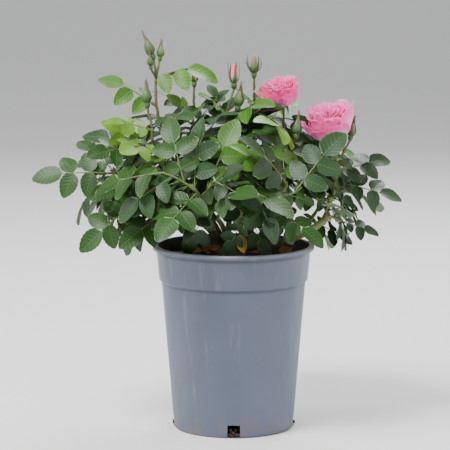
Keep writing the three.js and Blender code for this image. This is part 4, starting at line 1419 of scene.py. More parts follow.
# Single leaflets that lie on the mix or hang low among the stems: tint, foot, way, facing and size.
LOOSE_LEAVES = [
    ("yellow", (4, -52, 236), (0.42, -0.25, -0.9), (0.5, -0.85, 0.1), 0.60),
    ("withered", (20, -44, 240), (0.15, -0.1, -0.95), (0.2, -0.9, 0.2), 0.42),
    ("withered", (-54, 38, 204), (0.9, -0.3, 0.1), (0, -0.5, 0.85), 0.46),
    ("withered", (-30, 50, 204), (0.9, 0.2, 0.15), (0.2, -0.5, 0.85), 0.40),
    ("withered", (-44, 56, 205), (-0.7, -0.3, 0.2), (-0.2, -0.6, 0.8), 0.44),
    ("withered", (-62, 14, 204), (-0.2, 0.9, 0.1), (0.2, -0.4, 0.9), 0.50),
    ("withered", (-36, 36, 205), (0.5, 0.5, 0.3), (0.2, -0.6, 0.8), 0.36),
    ("withered", (54, 42, 204), (0.8, -0.2, 0.1), (-0.2, -0.5, 0.85), 0.45),
    ("withered", (66, 20, 205), (0.1, 0.9, 0.2), (-0.5, -0.6, 0.6), 0.42),
    ("withered", (12, 62, 204), (0.8, 0.1, 0.15), (0.1, -0.6, 0.8), 0.42),
    ("withered", (-36, -56, 204), (0.8, 0.4, 0.0), (0.2, -0.3, 0.95), 0.50),
    ("withered", (50, -50, 204), (-0.5, 0.7, 0.1), (0.1, -0.4, 0.9), 0.48),
]


def put_loose_leaves(heaps):
    for i, (tint, foot, way, faces, size) in enumerate(LOOSE_LEAVES):
        loose = leaflet(vec(foot), unit(vec(way)), vec(faces), size)
        heaps[tint].put(*blade_mesh(loose, seeded(FINISH_SEEDS["loose_leaves"] + i)))


# Stems and prickles

# A prickle's length, and as shares of it how far its foot reaches down, up and sideways and its tip leans
# back; then how far out on the stem's radius it sits, and how deep its root goes.
PRICKLE = {
    "size": [1.6, 3.0],
    "down": 0.55,
    "up": 0.4,
    "sideways": 0.22,
    "lean": 0.45,
    "seat": 0.8,
    "root": 0.4,
}
# Prickles along a stem: their spacing, and where they start and end.
ON_CANES = {"spacing": 9, "from": 0.2, "to": 0.95}
ON_SHOOTS = {"spacing": 11, "from": 0.08, "to": 0.95}


def put_prickles(prickles, curve, radii, where, seed):
    """Small pointed thorns round a stem, leaning a little backwards."""
    random = seeded(seed)
    start, span = where["from"], where["to"] - where["from"]
    count = int(curve.length() * span / where["spacing"])
    for i in range(count):
        t = start + span * (i + random()) / count
        way = curve.tangent(t)
        out = rotated(side_of(way), way, i * GOLDEN_TURN + random())
        foot = curve.point(t) + out * lerp(radii, t) * PRICKLE["seat"]
        size = between(random, PRICKLE["size"])
        tip = foot + out * size - way * size * PRICKLE["lean"]
        side = cross(way, out) * size * PRICKLE["sideways"]
        low, high = foot - way * size * PRICKLE["down"], foot + way * size * PRICKLE["up"]
        left, right = foot + side, foot - side
        root = foot - out * PRICKLE["root"]
        vertices = np.array([low, left, high, right, tip, root])
        faces = [(0, 1, 4), (1, 2, 4), (2, 3, 4), (3, 0, 4), (1, 0, 5), (2, 1, 5), (3, 2, 5), (0, 3, 5)]
        if np.dot(cross(left - low, tip - low), out + (left - foot)) < 0:
            faces = [face[::-1] for face in faces]
        prickles.put(vertices, faces)


# The sides round and the steps along each kind of stem.
STEM_MESH = {"shoot": (8, 22), "twig": (6, 9), "stalk": (7, 10)}
KNOT = {"every": 4, "at": 2, "swell": 0.16}
STEM_STRAY = {"width": 0.08, "place": 0.8}


def put_stem(stems, kind, curve, radii, seed, end=1.0):
    """A slightly wavering stem with swellings at its leaf joints."""
    random = seeded(seed)
    sides, steps = STEM_MESH[kind]
    points = curve_points(curve, steps, end)
    widths = []
    for i in range(steps + 1):
        knot = KNOT["swell"] if i % KNOT["every"] == KNOT["at"] else 0.0
        widths.append(lerp(radii, i / steps) * (1 + knot + chance(random, STEM_STRAY["width"])))
    for point in points[1:-1]:
        point += [chance(random, STEM_STRAY["place"]) for _ in range(3)]
    stems.put(*tube(points, widths, sides))


# Buds and blooms

def on_flower(flower, points):
    """A flower's own points, with x to the right from the front and z along it, carried to their place."""
    axis = flower["axis"]
    side = vec([1, 0, 0])
    side = unit(side - (side @ axis) * axis)
    return flower["base"] + flower["size"] * (points @ np.stack([side, cross(axis, side), axis]))


def turned_shape(profile, sides, wave=None):
    """A closed turned shape from [radius, height] points whose first and last lie on the axis."""
    vertices = []
    for radius, height in profile[1:-1]:
        for i in range(sides):
            angle = i * FULL_TURN / sides
            r = radius * (1 + (wave(angle, height) if wave else 0))
            vertices.append([r * math.cos(angle), r * math.sin(angle), height])
    vertices += [[0, 0, profile[0][1]], [0, 0, profile[-1][1]]]
    return vec(vertices), faces_round(len(profile) - 2, sides)


def sheet_mesh(points, outs, thickness):
    """A sepal or petal over a grid of points, from its foot to its tip and from side to side."""
    rows, across = points.shape[:2]
    rim = np.ones((rows, across), bool)
    rim[1:-1, 1:-1] = False
    corners = [i * across + j for i in range(rows - 1) for j in range(across - 1)]
    faces = [[k, k + 1, k + across + 1, k + across] for k in corners]
    along, over = np.meshgrid(np.linspace(0, 1, rows), np.linspace(0, 1, across), indexing="ij")
    places = np.stack([along.ravel(), over.ravel()], axis=1)
    top, out = points.reshape(-1, 3), outs.reshape(-1, 3)
    return closed_sheet(top, top - out * thickness, rim.ravel(), faces, places)


# How the five sepals stand: their half width, and the [radius, height] points that their spines pass.
SEPALS = {
    "closed": (4.9, [
        [2.3, 5.2], [5.3, 8], [6.4, 11], [6.2, 14], [5.1, 17.5], [3.4, 21],
        [2.1, 25], [1.4, 30], [1.7, 35],
    ]),
    "striped": (2.5, [
        [2.3, 5.2], [4.9, 8], [6.1, 11.5], [6.5, 15], [6.3, 19], [6.2, 23], [6.6, 27], [7.6, 31],
    ]),
    "opening": (2.6, [
        [2.3, 5.2], [5.0, 7.5], [7.4, 10.5], [9.2, 14], [10.0, 18], [9.4, 22], [8.2, 25], [8.0, 28],
    ]),
    "bloom": (3.0, [[2.3, 5.2], [6.0, 4.6], [9.5, 2.6], [12.6, -1.0], [15.0, -5.0], [17.6, -8.0]]),
}
SEPAL_ROWS = 10
SEPAL = {"thickness": 0.5, "spread": 3.0, "height": [0.9, 1.04], "twist": 0.9}
# A sepal is broadest from here on, and runs out in a long tip.
SEPAL_WIDTH = {"broad_from": 0.25, "taper": 1.12, "taper_power": 1.3, "tip": 0.25}
SEPALS_ROUND = 5
# Turned bodies as [radius, height] points: a shut bud, a longer one about to open, and the hip.
SHUT_BUD = [
    [0, 5], [2.3, 5.4], [4.5, 8], [5.5, 11], [5.3, 14], [4.3, 17.5], [2.7, 21], [1.3, 24], [0, 25.5],
]
FULL_BUD = [
    [0, 5], [2.4, 5.4], [4.4, 8], [5.3, 11.5], [5.1, 15], [4.2, 19], [2.9, 23], [1.6, 26.5], [0, 28.5],
]
HIP = [[0, -2], [1.5, -1.6], [3.1, 1], [3.7, 3.4], [3.2, 5.6], [2.2, 7], [0, 7.2]]
BUD_BODY = {"foot": 5, "length": 23, "ridges": 2, "ridge": 0.08, "ridge_twist": 0.3}


def put_sepal(green, flower, angle, random):
    """A narrow pointed sepal, broad at its foot, with a long tip."""
    half, profile = SEPALS[flower["look"]]
    profile = vec(profile)
    steps = np.linspace(0, 1, len(profile))
    t = np.linspace(0, 1, SEPAL_ROWS)
    r = np.interp(t, steps, profile[:, 0])
    z = np.interp(t, steps, profile[:, 1])
    r = r + t**2 * chance(random, SEPAL["spread"])
    z = z * between(random, SEPAL["height"])
    turn = angle + t**2 * chance(random, SEPAL["twist"])
    slope_r, slope_z = np.gradient(r), np.gradient(z)
    steep = np.hypot(slope_r, slope_z)
    out_r, out_z = slope_z / steep, -slope_r / steep
    taper = np.clip(SEPAL_WIDTH["taper"] - t, 0, 1) ** SEPAL_WIDTH["taper_power"]
    widths = half * np.minimum(1 - SEPAL_WIDTH["broad_from"] + t, 1) * taper + SEPAL_WIDTH["tip"]
    points = np.zeros((SEPAL_ROWS, 3, 3))
    outs = np.zeros((SEPAL_ROWS, 3, 3))
    for j, s in enumerate((-1, 0, 1)):
        around = turn + np.arcsin(np.clip(s * widths / np.maximum(r, widths * 1.05), -1, 1))
        points[:, j] = np.stack([r * np.cos(around), r * np.sin(around), z], axis=1)
        outs[:, j] = np.stack([out_r * np.cos(around), out_r * np.sin(around), out_z], axis=1)
    vertices, *rest = sheet_mesh(points, outs, SEPAL["thickness"])
    green.put(on_flower(flower, vertices), *rest)


def put_hip(green, flower):
    hip, faces = turned_shape(HIP, 12)
    green.put(on_flower(flower, hip), faces)


def bud_ridge(angle, z):
    """Where the wrapped petals stand out as they wind round a bud."""
    return BUD_BODY["ridge"] * math.sin(BUD_BODY["ridges"] * angle + BUD_BODY["ridge_twist"] * z)


def put_bud(flower, green, pink, random):
    """A bud: swollen hip, pointed body wrapped in petals, and five sepals."""
    put_hip(green, flower)
    profile = SHUT_BUD if flower["look"] == "closed" else FULL_BUD
    body, faces = turned_shape(profile, 16, bud_ridge)
    x, y, z = body.T
    along = np.clip((z - BUD_BODY["foot"]) / BUD_BODY["length"], 0, 1)
    places = np.stack([along, np.arctan2(y, x) / 6.3 + 0.5], axis=1)
    wrapped = 0 if flower["look"] == "striped" else 1
    pink.put(on_flower(flower, body), faces, [wrapped] * len(faces), places)
    first = random() * 1.2
    for i in range(SEPALS_ROUND):
        put_sepal(green, flower, first + i * FULL_TURN / SEPALS_ROUND, random)


PETAL_ROWS = 13
PETAL_ACROSS = 17
# A petal's outline, which drops to its sides and is notched in the middle (depth and sharpness), and
# its rim, which is ruffled and rolled outwards.
PETAL = {
    "thickness": 0.4,
    "drop": [0.20, 0.10],
    "notch": [0.05, 7],
    "ruffled_from": 0.35,
    "rolled_from": 0.78,
    "roll": [0.5, 3.2],
}
# Waves along a petal's rim: how close, how high, and how they shift towards the rim.
RUFFLES = [(4.1, 1.0, 0), (8.3, 0.6, 3), (14, 0.35, 0)]


def past(t, start):
    """How far t has come from start to the rim, from 0 to 1."""
    return np.clip((t - start) / (1 - start), 0, 1)


def petal(azimuth, profile, span, lean, ripple, random):
    """Part of a turned cup with a profile of [radius, height] points and a ruffled, rolled rim."""
    profile = vec(profile)
    steps = np.linspace(0, 1, len(profile))
    along = np.linspace(0, 1, PETAL_ROWS)[:, None]
    s = np.linspace(-1, 1, PETAL_ACROSS)[None, :]
    notch_depth, notch_sharpness = PETAL["notch"]
    notch = notch_depth * np.exp(-(s * notch_sharpness) ** 2)
    t = along * (1 - PETAL["drop"][0] * s**2 - PETAL["drop"][1] * s**4 - notch)
    r, z = [np.interp(t, steps, column) for column in profile.T]
    near = 0.06
    rise_r, rise_z = [
        np.interp(np.minimum(t + near, 1.0), steps, column) - np.interp(t - near, steps, column)
        for column in profile.T
    ]
    steep = np.hypot(rise_r, rise_z) + 1e-6
    out_r, out_z = rise_z / steep, -rise_r / steep
    angle = azimuth + s * span * (0.3 + 0.7 * np.minimum(1, 1.5 * t) ** 0.7)
    phases = [between(random, ANY_ANGLE) for _ in range(4)]
    edge = past(t, PETAL["ruffled_from"]) ** 1.6
    ruffle = sum(
        high * np.sin(close * s + phase + shift * t)
        for (close, high, shift), phase in zip(RUFFLES, phases)
    )
    roll = past(t, PETAL["rolled_from"]) ** 2 * between(random, PETAL["roll"])
    off = ripple * edge * ruffle + roll
    r = r * (1 + lean * t) + out_r * off
    z = z + out_z * off + ripple * 0.5 * edge * np.sin(6.0 * s + phases[3])
    points = np.stack([r * np.cos(angle), r * np.sin(angle), z], axis=2)
    outs = np.stack([out_r * np.cos(angle), out_r * np.sin(angle), out_z], axis=2)
    return sheet_mesh(points, outs, PETAL["thickness"])


# Rounds of a half open bloom, from the outside in: number of petals, profile, half angle and ripple.
BLOOM_ROUNDS = [
    (5, [[2, 3], [13, 6], [21, 12], [25.5, 21], [26.5, 30], [27, 38]], 0.74, 1.3),
    (5, [[2, 4], [11, 8], [18, 15], [22, 24], [22.5, 33], [24, 41]], 0.70, 1.6),
    (5, [[2, 5], [9, 9], [15, 16], [18, 25], [18, 34], [19.5, 41.5]], 0.70, 1.9),
    (5, [[2, 6], [7, 10], [12, 17], [14.5, 26], [14, 34], [15.5, 41]], 0.74, 2.1),
    (5, [[1, 7], [5, 12], [9, 18], [11, 26], [10, 34], [11, 40]], 0.80, 2.0),
    (4, [[1, 8], [4, 13], [6, 19], [7.5, 26], [6.5, 33], [7.5, 38.5]], 0.95, 1.7),
    (3, [[0.5, 9], [2, 14], [3.5, 20], [4, 26], [3.5, 32], [4, 37]], 1.2, 1.1),
]
# Each bloom's outermost petals, from the right round the back: azimuth, height, half angle, lean, ripple.
OUTER_PETALS = {
    "shoot_bloom_left": [
        (-0.4, 0.96, 0.62, 0.02, 1.2),
        (0.9, 1.02, 0.70, 0.0, 1.6),
        (2.2, 1.0, 0.70, 0.10, 1.8),
        (3.2, 0.86, 0.62, 0.36, 2.0),
        (4.3, 0.66, 0.72, 0.10, 1.3),
        (5.2, 0.70, 0.66, 0.06, 1.0),
    ],
    "shoot_bloom_right": [
        (-0.42, 1.2, 0.72, 0.06, 0.6),
        (0.9, 1.04, 0.75, 0.0, 1.4),
        (2.2, 0.92, 0.72, 0.05, 1.8),
        (3.4, 0.80, 0.64, 0.22, 2.0),
        (4.25, 0.64, 0.60, 0.12, 1.6),
        (5.0, 0.72, 0.62, 0.02, 0.9),
    ],
}
# How the inner petals differ: in height, how much lower they are in front, and how they turn and lean.
INNER_PETALS = {"height": [0.92, 1.04], "lower_in_front": 0.14, "turn": 0.4, "lean": 0.16}
FRONT = -math.pi / 2


def put_petal(petals, flower, azimuth, profile, height, span, lean, ripple, random):
    shape = [[r * between(random, [0.98, 1.02]), z * height] for r, z in profile]
    vertices, *rest = petal(azimuth, shape, span, lean, ripple, random)
    petals.put(on_flower(flower, vertices), *rest)


def put_bloom(name, flower, green, petals, random):
    """A half open bloom: hip, sepals, outermost petals as in the photo, and rounds of ruffled ones."""
    put_hip(green, flower)
    for i in range(SEPALS_ROUND):
        put_sepal(green, flower, i * FULL_TURN / SEPALS_ROUND + random() * 0.4, random)
    outermost = BLOOM_ROUNDS[0][1]
    for azimuth, height, span, lean, ripple in OUTER_PETALS[name]:
        put_petal(petals, flower, azimuth, outermost, height, span, lean, ripple, random)
    for turn, (count, profile, span, ripple) in enumerate(BLOOM_ROUNDS[1:]):
        for i in range(count):
            azimuth = (i + 0.5 * turn) * FULL_TURN / count + chance(random, INNER_PETALS["turn"])
            in_front = max(0.0, math.cos(azimuth - FRONT))
            height = between(random, INNER_PETALS["height"]) - INNER_PETALS["lower_in_front"] * in_front
            lean = chance(random, INNER_PETALS["lean"])
            put_petal(petals, flower, azimuth, profile, height, span, lean, ripple, random)


# Modelling steps that the pot, the mix and the studio's floor share

def deselect_all():
    for piece in bpy.context.selected_objects:
        piece.select_set(False)


def select_only(piece):
    deselect_all()
    piece.select_set(True)
    bpy.context.view_layer.objects.active = piece


def just_added(name):
    """The primitive that was added last, under its own name."""
    bpy.context.object.name = name
    return bpy.context.object


def start_edit(mode, action=None):
    bpy.ops.object.mode_set(mode="EDIT")
    bpy.ops.mesh.select_mode(type=mode)
    if action:
        bpy.ops.mesh.select_all(action=action)


def end_edit():
    bpy.ops.object.mode_set(mode="OBJECT")


def extrude_up(rise):
    bpy.ops.mesh.extrude_region_move(TRANSFORM_OT_translate={"value": (0, 0, rise)})


def finish_place(piece):
    """Puts the object at the origin, unturned, with its place in its mesh."""
    select_only(piece)
    bpy.ops.object.transform_apply(location=True, rotation=True, scale=True)


def add_bevel(piece, width, segments, angle=30):
    bevel = piece.modifiers.new("rounded", "BEVEL")
    bevel.width = width
    bevel.segments = segments
    bevel.angle_limit = math.radians(angle)


def apply_modifiers(piece):
    select_only(piece)
    for modifier in list(piece.modifiers):
        bpy.ops.object.modifier_apply(modifier=modifier.name)


def smooth_below(piece, angle):
    """Shades smooth, apart from the edges whose faces meet at more than an angle in degrees."""
    select_only(piece)
    bpy.ops.object.shade_smooth_by_angle(angle=math.radians(angle))


def face_outwards(piece):
    select_only(piece)
    start_edit("FACE", "SELECT")
    bpy.ops.mesh.remove_doubles(threshold=1e-6)
    bpy.ops.mesh.normals_make_consistent(inside=False)
    end_edit()


# The pot and its mix

def pot_rings():
    """The pot's profile from its foot up its outside and down its inside, as [radius, height]."""
    p = POT
    lip_foot = p["height"] - p["lip_height"]
    shoulder = p["step_z"] - p["step_height"]
    return [
        (p["foot_radius"] - p["foot_round"], 0),
        (p["foot_radius"], p["foot_round"]),
        (p["body_top_radius"], shoulder),
        (p["band_foot_radius"], p["step_z"]),
        (p["band_top_radius"], lip_foot),
        (p["lip_radius"], lip_foot + p["lip_round"]),
        (p["lip_radius"], p["height"] - p["lip_round"]),
        (p["lip_radius"] - p["lip_round"], p["height"]),
        (p["band_top_radius"] - p["wall"], p["height"]),
        (p["band_foot_radius"] - p["wall"], p["step_z"]),
        (p["body_top_radius"] - p["wall"], shoulder),
        (p["foot_radius"] - p["wall"], p["floor"]),
    ]


def make_pot(material, inner_material):
    """Extruded ring by ring from its foot, with the drain notches cut out and the edges rounded."""
    rings = pot_rings()
    deselect_all()
    bpy.ops.mesh.primitive_circle_add(vertices=128, radius=rings[0][0] * MM, fill_type="NGON")
    pot = just_added("pot_shell")
    start_edit("FACE", "SELECT")
    for (radius, z), (next_radius, next_z) in zip(rings, rings[1:]):
        extrude_up((next_z - z) * MM)
        bpy.ops.transform.resize(value=(next_radius / radius, next_radius / radius, 1))
    end_edit()
    face_outwards(pot)
    cut_notches(pot)
    add_bevel(pot, width=0.0009, segments=3, angle=24)
    apply_modifiers(pot)
    smooth_below(pot, 32)
    finish_place(pot)
    pot.data.materials.append(material)
    pot.data.materials.append(inner_material)
    for face in pot.data.polygons:
        face.material_index = 1 if is_inside_pot(face) else 0
    return pot


def is_inside_pot(face):
    """Whether a face belongs to the black inner layer, which ends below the rim."""
    outward = face.normal.x * face.center.x + face.normal.y * face.center.y
    under_rim = face.center.z < (POT["height"] - POT["lip_round"]) * MM
    on_floor = face.normal.z > 0.9 and face.center.z > POT["floor"] * MM * 0.5
    return under_rim and (outward < -0.002 or on_floor)


def cut_notches(pot):
    """Drain notches in the foot's edge, each half as deep and half as high as its cutter."""
    reach = POT["foot_radius"] * MM
    width, depth, height = [POT[f"notch_{side}"] * MM for side in ("width", "depth", "height")]
    for i in range(POT["notches"]):
        angle = i * FULL_TURN / POT["notches"]
        deselect_all()
        bpy.ops.mesh.primitive_cube_add(size=1)
        cutter = just_added("notch_cutter")
        cutter.dimensions = (width, 2 * depth, 2 * height)
        cutter.location = (math.sin(angle) * reach, -math.cos(angle) * reach, 0)
        cutter.rotation_euler = (0, 0, angle)
        cut = pot.modifiers.new("notch", "BOOLEAN")
        cut.operation = "DIFFERENCE"
        cut.solver = "EXACT"
        cut.object = cutter
        apply_modifiers(pot)
        bpy.data.objects.remove(cutter)


def heaped_z(share):
    """The mix's height at a share of its radius: a little higher round the rootstock."""
    return MIX["surface_z"] + MIX["heap"] * (1 - share) ** 0.7


# Lumps in the mix: height and fineness of the broad, middling and sharp ones, and how far they sink.
LUMPS = {"broad": (1.6, 0.055), "middling": (0.8, 0.25), "sharp": (0.7, 0.7), "sink": 0.8}
MIX_GRID = 120
MIX_DEPTH = 15


def lump_at(x, y):
    """How far the mix's surface rises or sinks, by noise of three sizes, each from its own layer."""
    broad, middling, sharp = [
        LUMPS[kind][0] * noise.noise(Vector((x, y, layer)) * LUMPS[kind][1])
        for kind, layer in (("broad", 3), ("middling", 9), ("sharp", 5))
    ]
    return broad + middling + abs(sharp)


def make_mix(material):
    """The potting mix's crumbly top: a grid drawn in to a disc and heaped, closed by a wall and a floor."""
    width = 2 * MIX["radius"] * MM
    deselect_all()
    bpy.ops.mesh.primitive_grid_add(x_subdivisions=MIX_GRID, y_subdivisions=MIX_GRID, size=width)
    mix = just_added("compost_surface")
    for vertex in mix.data.vertices:
        x, y = vertex.co.x / MM, vertex.co.y / MM
        reach = max(abs(x), abs(y))
        across = math.hypot(x, y) or 1.0
        x, y = x * reach / across, y * reach / across
        share = min(1.0, reach / MIX["radius"])
        z = heaped_z(share) + lump_at(x, y) * (1 - share**6) - LUMPS["sink"]
        vertex.co = (x * MM, y * MM, z * MM)
    start_edit("EDGE", "DESELECT")
    bpy.ops.mesh.select_non_manifold()
    extrude_up(-MIX_DEPTH * MM)
    bpy.ops.mesh.edge_face_add()
    end_edit()
    face_outwards(mix)
    smooth_below(mix, 50)
    mix.data.materials.append(material)
    return mix


# Chips: how many, the lengths of every fourth one and of the rest, how flat and slim they are, how far
# from the pot's wall they stay, and how far out of square and level they are.
CHIP = {
    "count": 460,
    "big": [3.5, 7.5],
    "small": [1.0, 3.0],
    "flat": [0.12, 0.32],
    "slim": [0.3, 0.65],
    "from_wall": 9,
    "stray": 0.45,
    "tip": 1.1,
}
CRUMBS = {
    "in_notch": 22,
    "size": [0.5, 1.6],
    "shape": [1, 0.8, 0.7],
    "height": [0.4, 9],
    "depth": [-5, 0.8],
}
BOX_CORNERS = [[x, y, z] for x in (-1, 1) for y in (-1, 1) for z in (-1, 1)]
BOX_FACES = [(0, 1, 3, 2), (4, 6, 7, 5), (0, 4, 5, 1), (2, 3, 7, 6), (0, 2, 6, 4), (1, 5, 7, 3)]


def put_chip(heap, middle, size, random, material):
    """A block pulled out of square, tipped and turned."""
    chip = vec(BOX_CORNERS) * size
    chip += vec([[chance(random, CHIP["stray"]) for _ in range(3)] for _ in BOX_CORNERS]) * size
    spin, tip = between(random, ANY_ANGLE), chance(random, CHIP["tip"])
    chip = vec([rotated(rotated(p, vec([1, 0, 0]), tip), UP, spin) for p in chip])
    heap.put(chip + middle, BOX_FACES, [material] * len(BOX_FACES))


def make_chips(materials):
    """Bark chips on the mix, and crumbs of compost that have worked out of the drain notches."""
    random = seeded(FINISH_SEEDS["chips"])
    heap = Heap()
    for i in range(CHIP["count"]):
        radius = (POT["band_foot_radius"] - CHIP["from_wall"]) * math.sqrt(between(random, [0.02, 1.0]))
        angle = between(random, ANY_ANGLE)
        length = between(random, CHIP["big"] if i % 4 == 0 else CHIP["small"])
        size = length * vec([1, between(random, CHIP["slim"]), between(random, CHIP["flat"])])
        z = heaped_z(radius / MIX["radius"]) + size[2] * 0.8
        middle = vec([radius * math.cos(angle), radius * math.sin(angle), z])
        put_chip(heap, middle, size, random, i % len(materials))
    for notch in range(POT["notches"]):
        for _ in range(CRUMBS["in_notch"]):
            side = chance(random, POT["notch_width"] - 2)
            out = POT["foot_radius"] + between(random, CRUMBS["depth"])
            size = between(random, CRUMBS["size"])
            z = 2 * size + lerp(CRUMBS["height"], random() ** 2)
            middle = rotated(vec([side, -out, z]), UP, notch * FULL_TURN / POT["notches"])
            put_chip(heap, middle, vec(CRUMBS["shape"]) * size, random, 0)
    return heap.piece("bark_chips", materials, smooth=False)


# Rootstock and canes

def rough_at(point, broad, fine):
    """How far bark stands out, by (height, fineness) of its broad and its fine relief."""
    return sum(height * noise.noise(Vector(point) * fineness) for height, fineness in (broad, fine))


def make_rootstock(material):
    """The gnarled knuckle at soil level."""
    flare, waist, knuckle = ROOTSTOCK["flare"], ROOTSTOCK["waist"], ROOTSTOCK["knuckle"]
    profile = [
        [0, -6], [flare * 0.9, -5.5], [flare, 0], [waist + 2.5, 4], [waist + 0.5, 8],
        [waist + 0.5, 11], [knuckle, 14.5], [knuckle - 1.5, 18], [8, 19.8], [0, 20],
    ]
    finer = []
    for a, b in zip(profile, profile[1:]):
        finer += [[lerp([a[0], b[0]], k / 3), lerp([a[1], b[1]], k / 3)] for k in range(3)]
    finer = [profile[0]] + [point for point in finer[1:] if point[0] > 0] + [profile[-1]]
    vertices, faces = turned_shape(finer, 40)
    for vertex in vertices:
        if abs(vertex[0]) + abs(vertex[1]) < 1e-6:
            continue
        angle = math.atan2(vertex[1], vertex[0])
        broad = 0.06 * math.sin(5 * angle + vertex[2] * 0.1)
        narrow = 0.03 * math.sin(11 * angle - vertex[2] * 0.25)
        vertex[:2] *= 0.93 + broad + narrow + rough_at(vertex, (0.12, 0.35), (0.06, 1.1))
    vertices += [ROOTSTOCK["x"], ROOTSTOCK["y"], ROOTSTOCK_Z]
    return mesh_piece("rootstock_bark", vertices, faces, [material])


# A cane's mesh, its leaf scars, which stand out over a slight waist, and the brown rings at a cut end.
CANE_MESH = {"sides": 16, "steps": 70, "scars": 6, "first_scar": 6, "after_last": 4, "cut_rings": 3}
SCAR = {"swell": 0.09, "waist": -0.05}


def make_cane(name, curve, radii, materials, seed):
    """A cane with leaf scars and rough bark. The pruned one ends in a flat cut, dried brown."""
    sides, steps = CANE_MESH["sides"], CANE_MESH["steps"]
    points = curve_points(curve, steps)
    vertices, faces = tube(points, [lerp(radii, i / steps) for i in range(steps + 1)], sides)
    random = seeded(seed)
    scar_limits = [CANE_MESH["first_scar"], steps - CANE_MESH["after_last"]]
    scars = [int(between(random, scar_limits)) for _ in range(CANE_MESH["scars"])]
    for i, centre in enumerate(points):
        scar = SCAR["swell"] if i in scars else (SCAR["waist"] if i - 1 in scars else 0.0)
        for vertex in vertices[i * sides:(i + 1) * sides]:
            rough = rough_at(vertex, (0.09, 0.5), (0.05, 1.6))
            vertex[:] = centre + (vertex - centre) * (1 + scar + rough)
    slots = [0] * len(faces)
    sharp = np.zeros(len(vertices), bool)
    if name == PRUNED_CANE:
        end = slice(steps * sides, (steps + 1) * sides)
        vertices[-1] = vertices[end].mean(axis=0)
        sharp[end] = True
        brown = (steps - CANE_MESH["cut_rings"]) * sides
        slots = [1 if min(face) >= brown else 0 for face in faces]
    return mesh_piece(f"{name}_bark", vertices, faces, materials, slots=slots, sharp=sharp)


# The whole object

def dress(piece, slot_name, *nodes):
    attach(piece, "root")
    if nodes:
        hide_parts(*nodes)


def make_pot_and_mix():
    dress(make_pot(pot_material(), pot_inside_material()), "pot", "pot")
    dress(make_mix(mix_material()), "potting_mix", "potting_mix")
    chips = [
        chip_material("bark_chip_dark", rgb(0.020, 0.012, 0.008), rgb(0.070, 0.038, 0.020)),
        chip_material("bark_chip_rusty", rgb(0.200, 0.080, 0.032), rgb(0.600, 0.310, 0.150)),
        chip_material("bark_chip_dull", rgb(0.050, 0.034, 0.024), rgb(0.190, 0.130, 0.085)),
    ]
    dress(make_chips(chips), "potting_mix")


def make_wood(canes):
    """The rootstock and the canes. Their prickles are handed on and join those of the shoots."""
    bark, cut = cane_material(), cut_material()
    dress(make_rootstock(bark), "cane", "rootstock")
    prickles = Heap()
    for i, (name, curve) in enumerate(canes.items()):
        radii = CANES[name]["radius"]
        dress(make_cane(name, curve, radii, [bark, cut], FINISH_SEEDS["bark"] + i), "cane", name)
        put_prickles(prickles, curve, radii, ON_CANES, FINISH_SEEDS["cane_prickles"] + i)
    return prickles


# Each bloom's petals at the claw, in the middle and at the rim: the younger one is the deeper pink.
PETAL_COLOURS = {
    "shoot_bloom_left": {
        "outside": [rgb(1.00, 0.34, 0.52), rgb(1.00, 0.15, 0.46), rgb(1.00, 0.02, 0.28)],
        "inside": [rgb(0.88, 0.01, 0.10), rgb(1.00, 0.01, 0.18), rgb(1.00, 0.04, 0.34)],
    },
    "shoot_bloom_right": {
        "outside": [rgb(1.00, 0.60, 0.70), rgb(1.00, 0.31, 0.62), rgb(1.00, 0.03, 0.34)],
        "inside": [rgb(0.92, 0.01, 0.14), rgb(1.00, 0.02, 0.24), rgb(1.00, 0.08, 0.46)],
    },
}

# Petals that show in a bud, at the claw, in the middle and at the rim: nearly open ones and green ones.
BUD_COLOURS = {
    "bud_petal": [rgb(0.42, 0.40, 0.16), rgb(0.90, 0.26, 0.30), rgb(0.92, 0.08, 0.20)],
    "green_bud_petal": [rgb(0.07, 0.14, 0.03), rgb(0.11, 0.18, 0.05), rgb(0.30, 0.16, 0.09)],
}


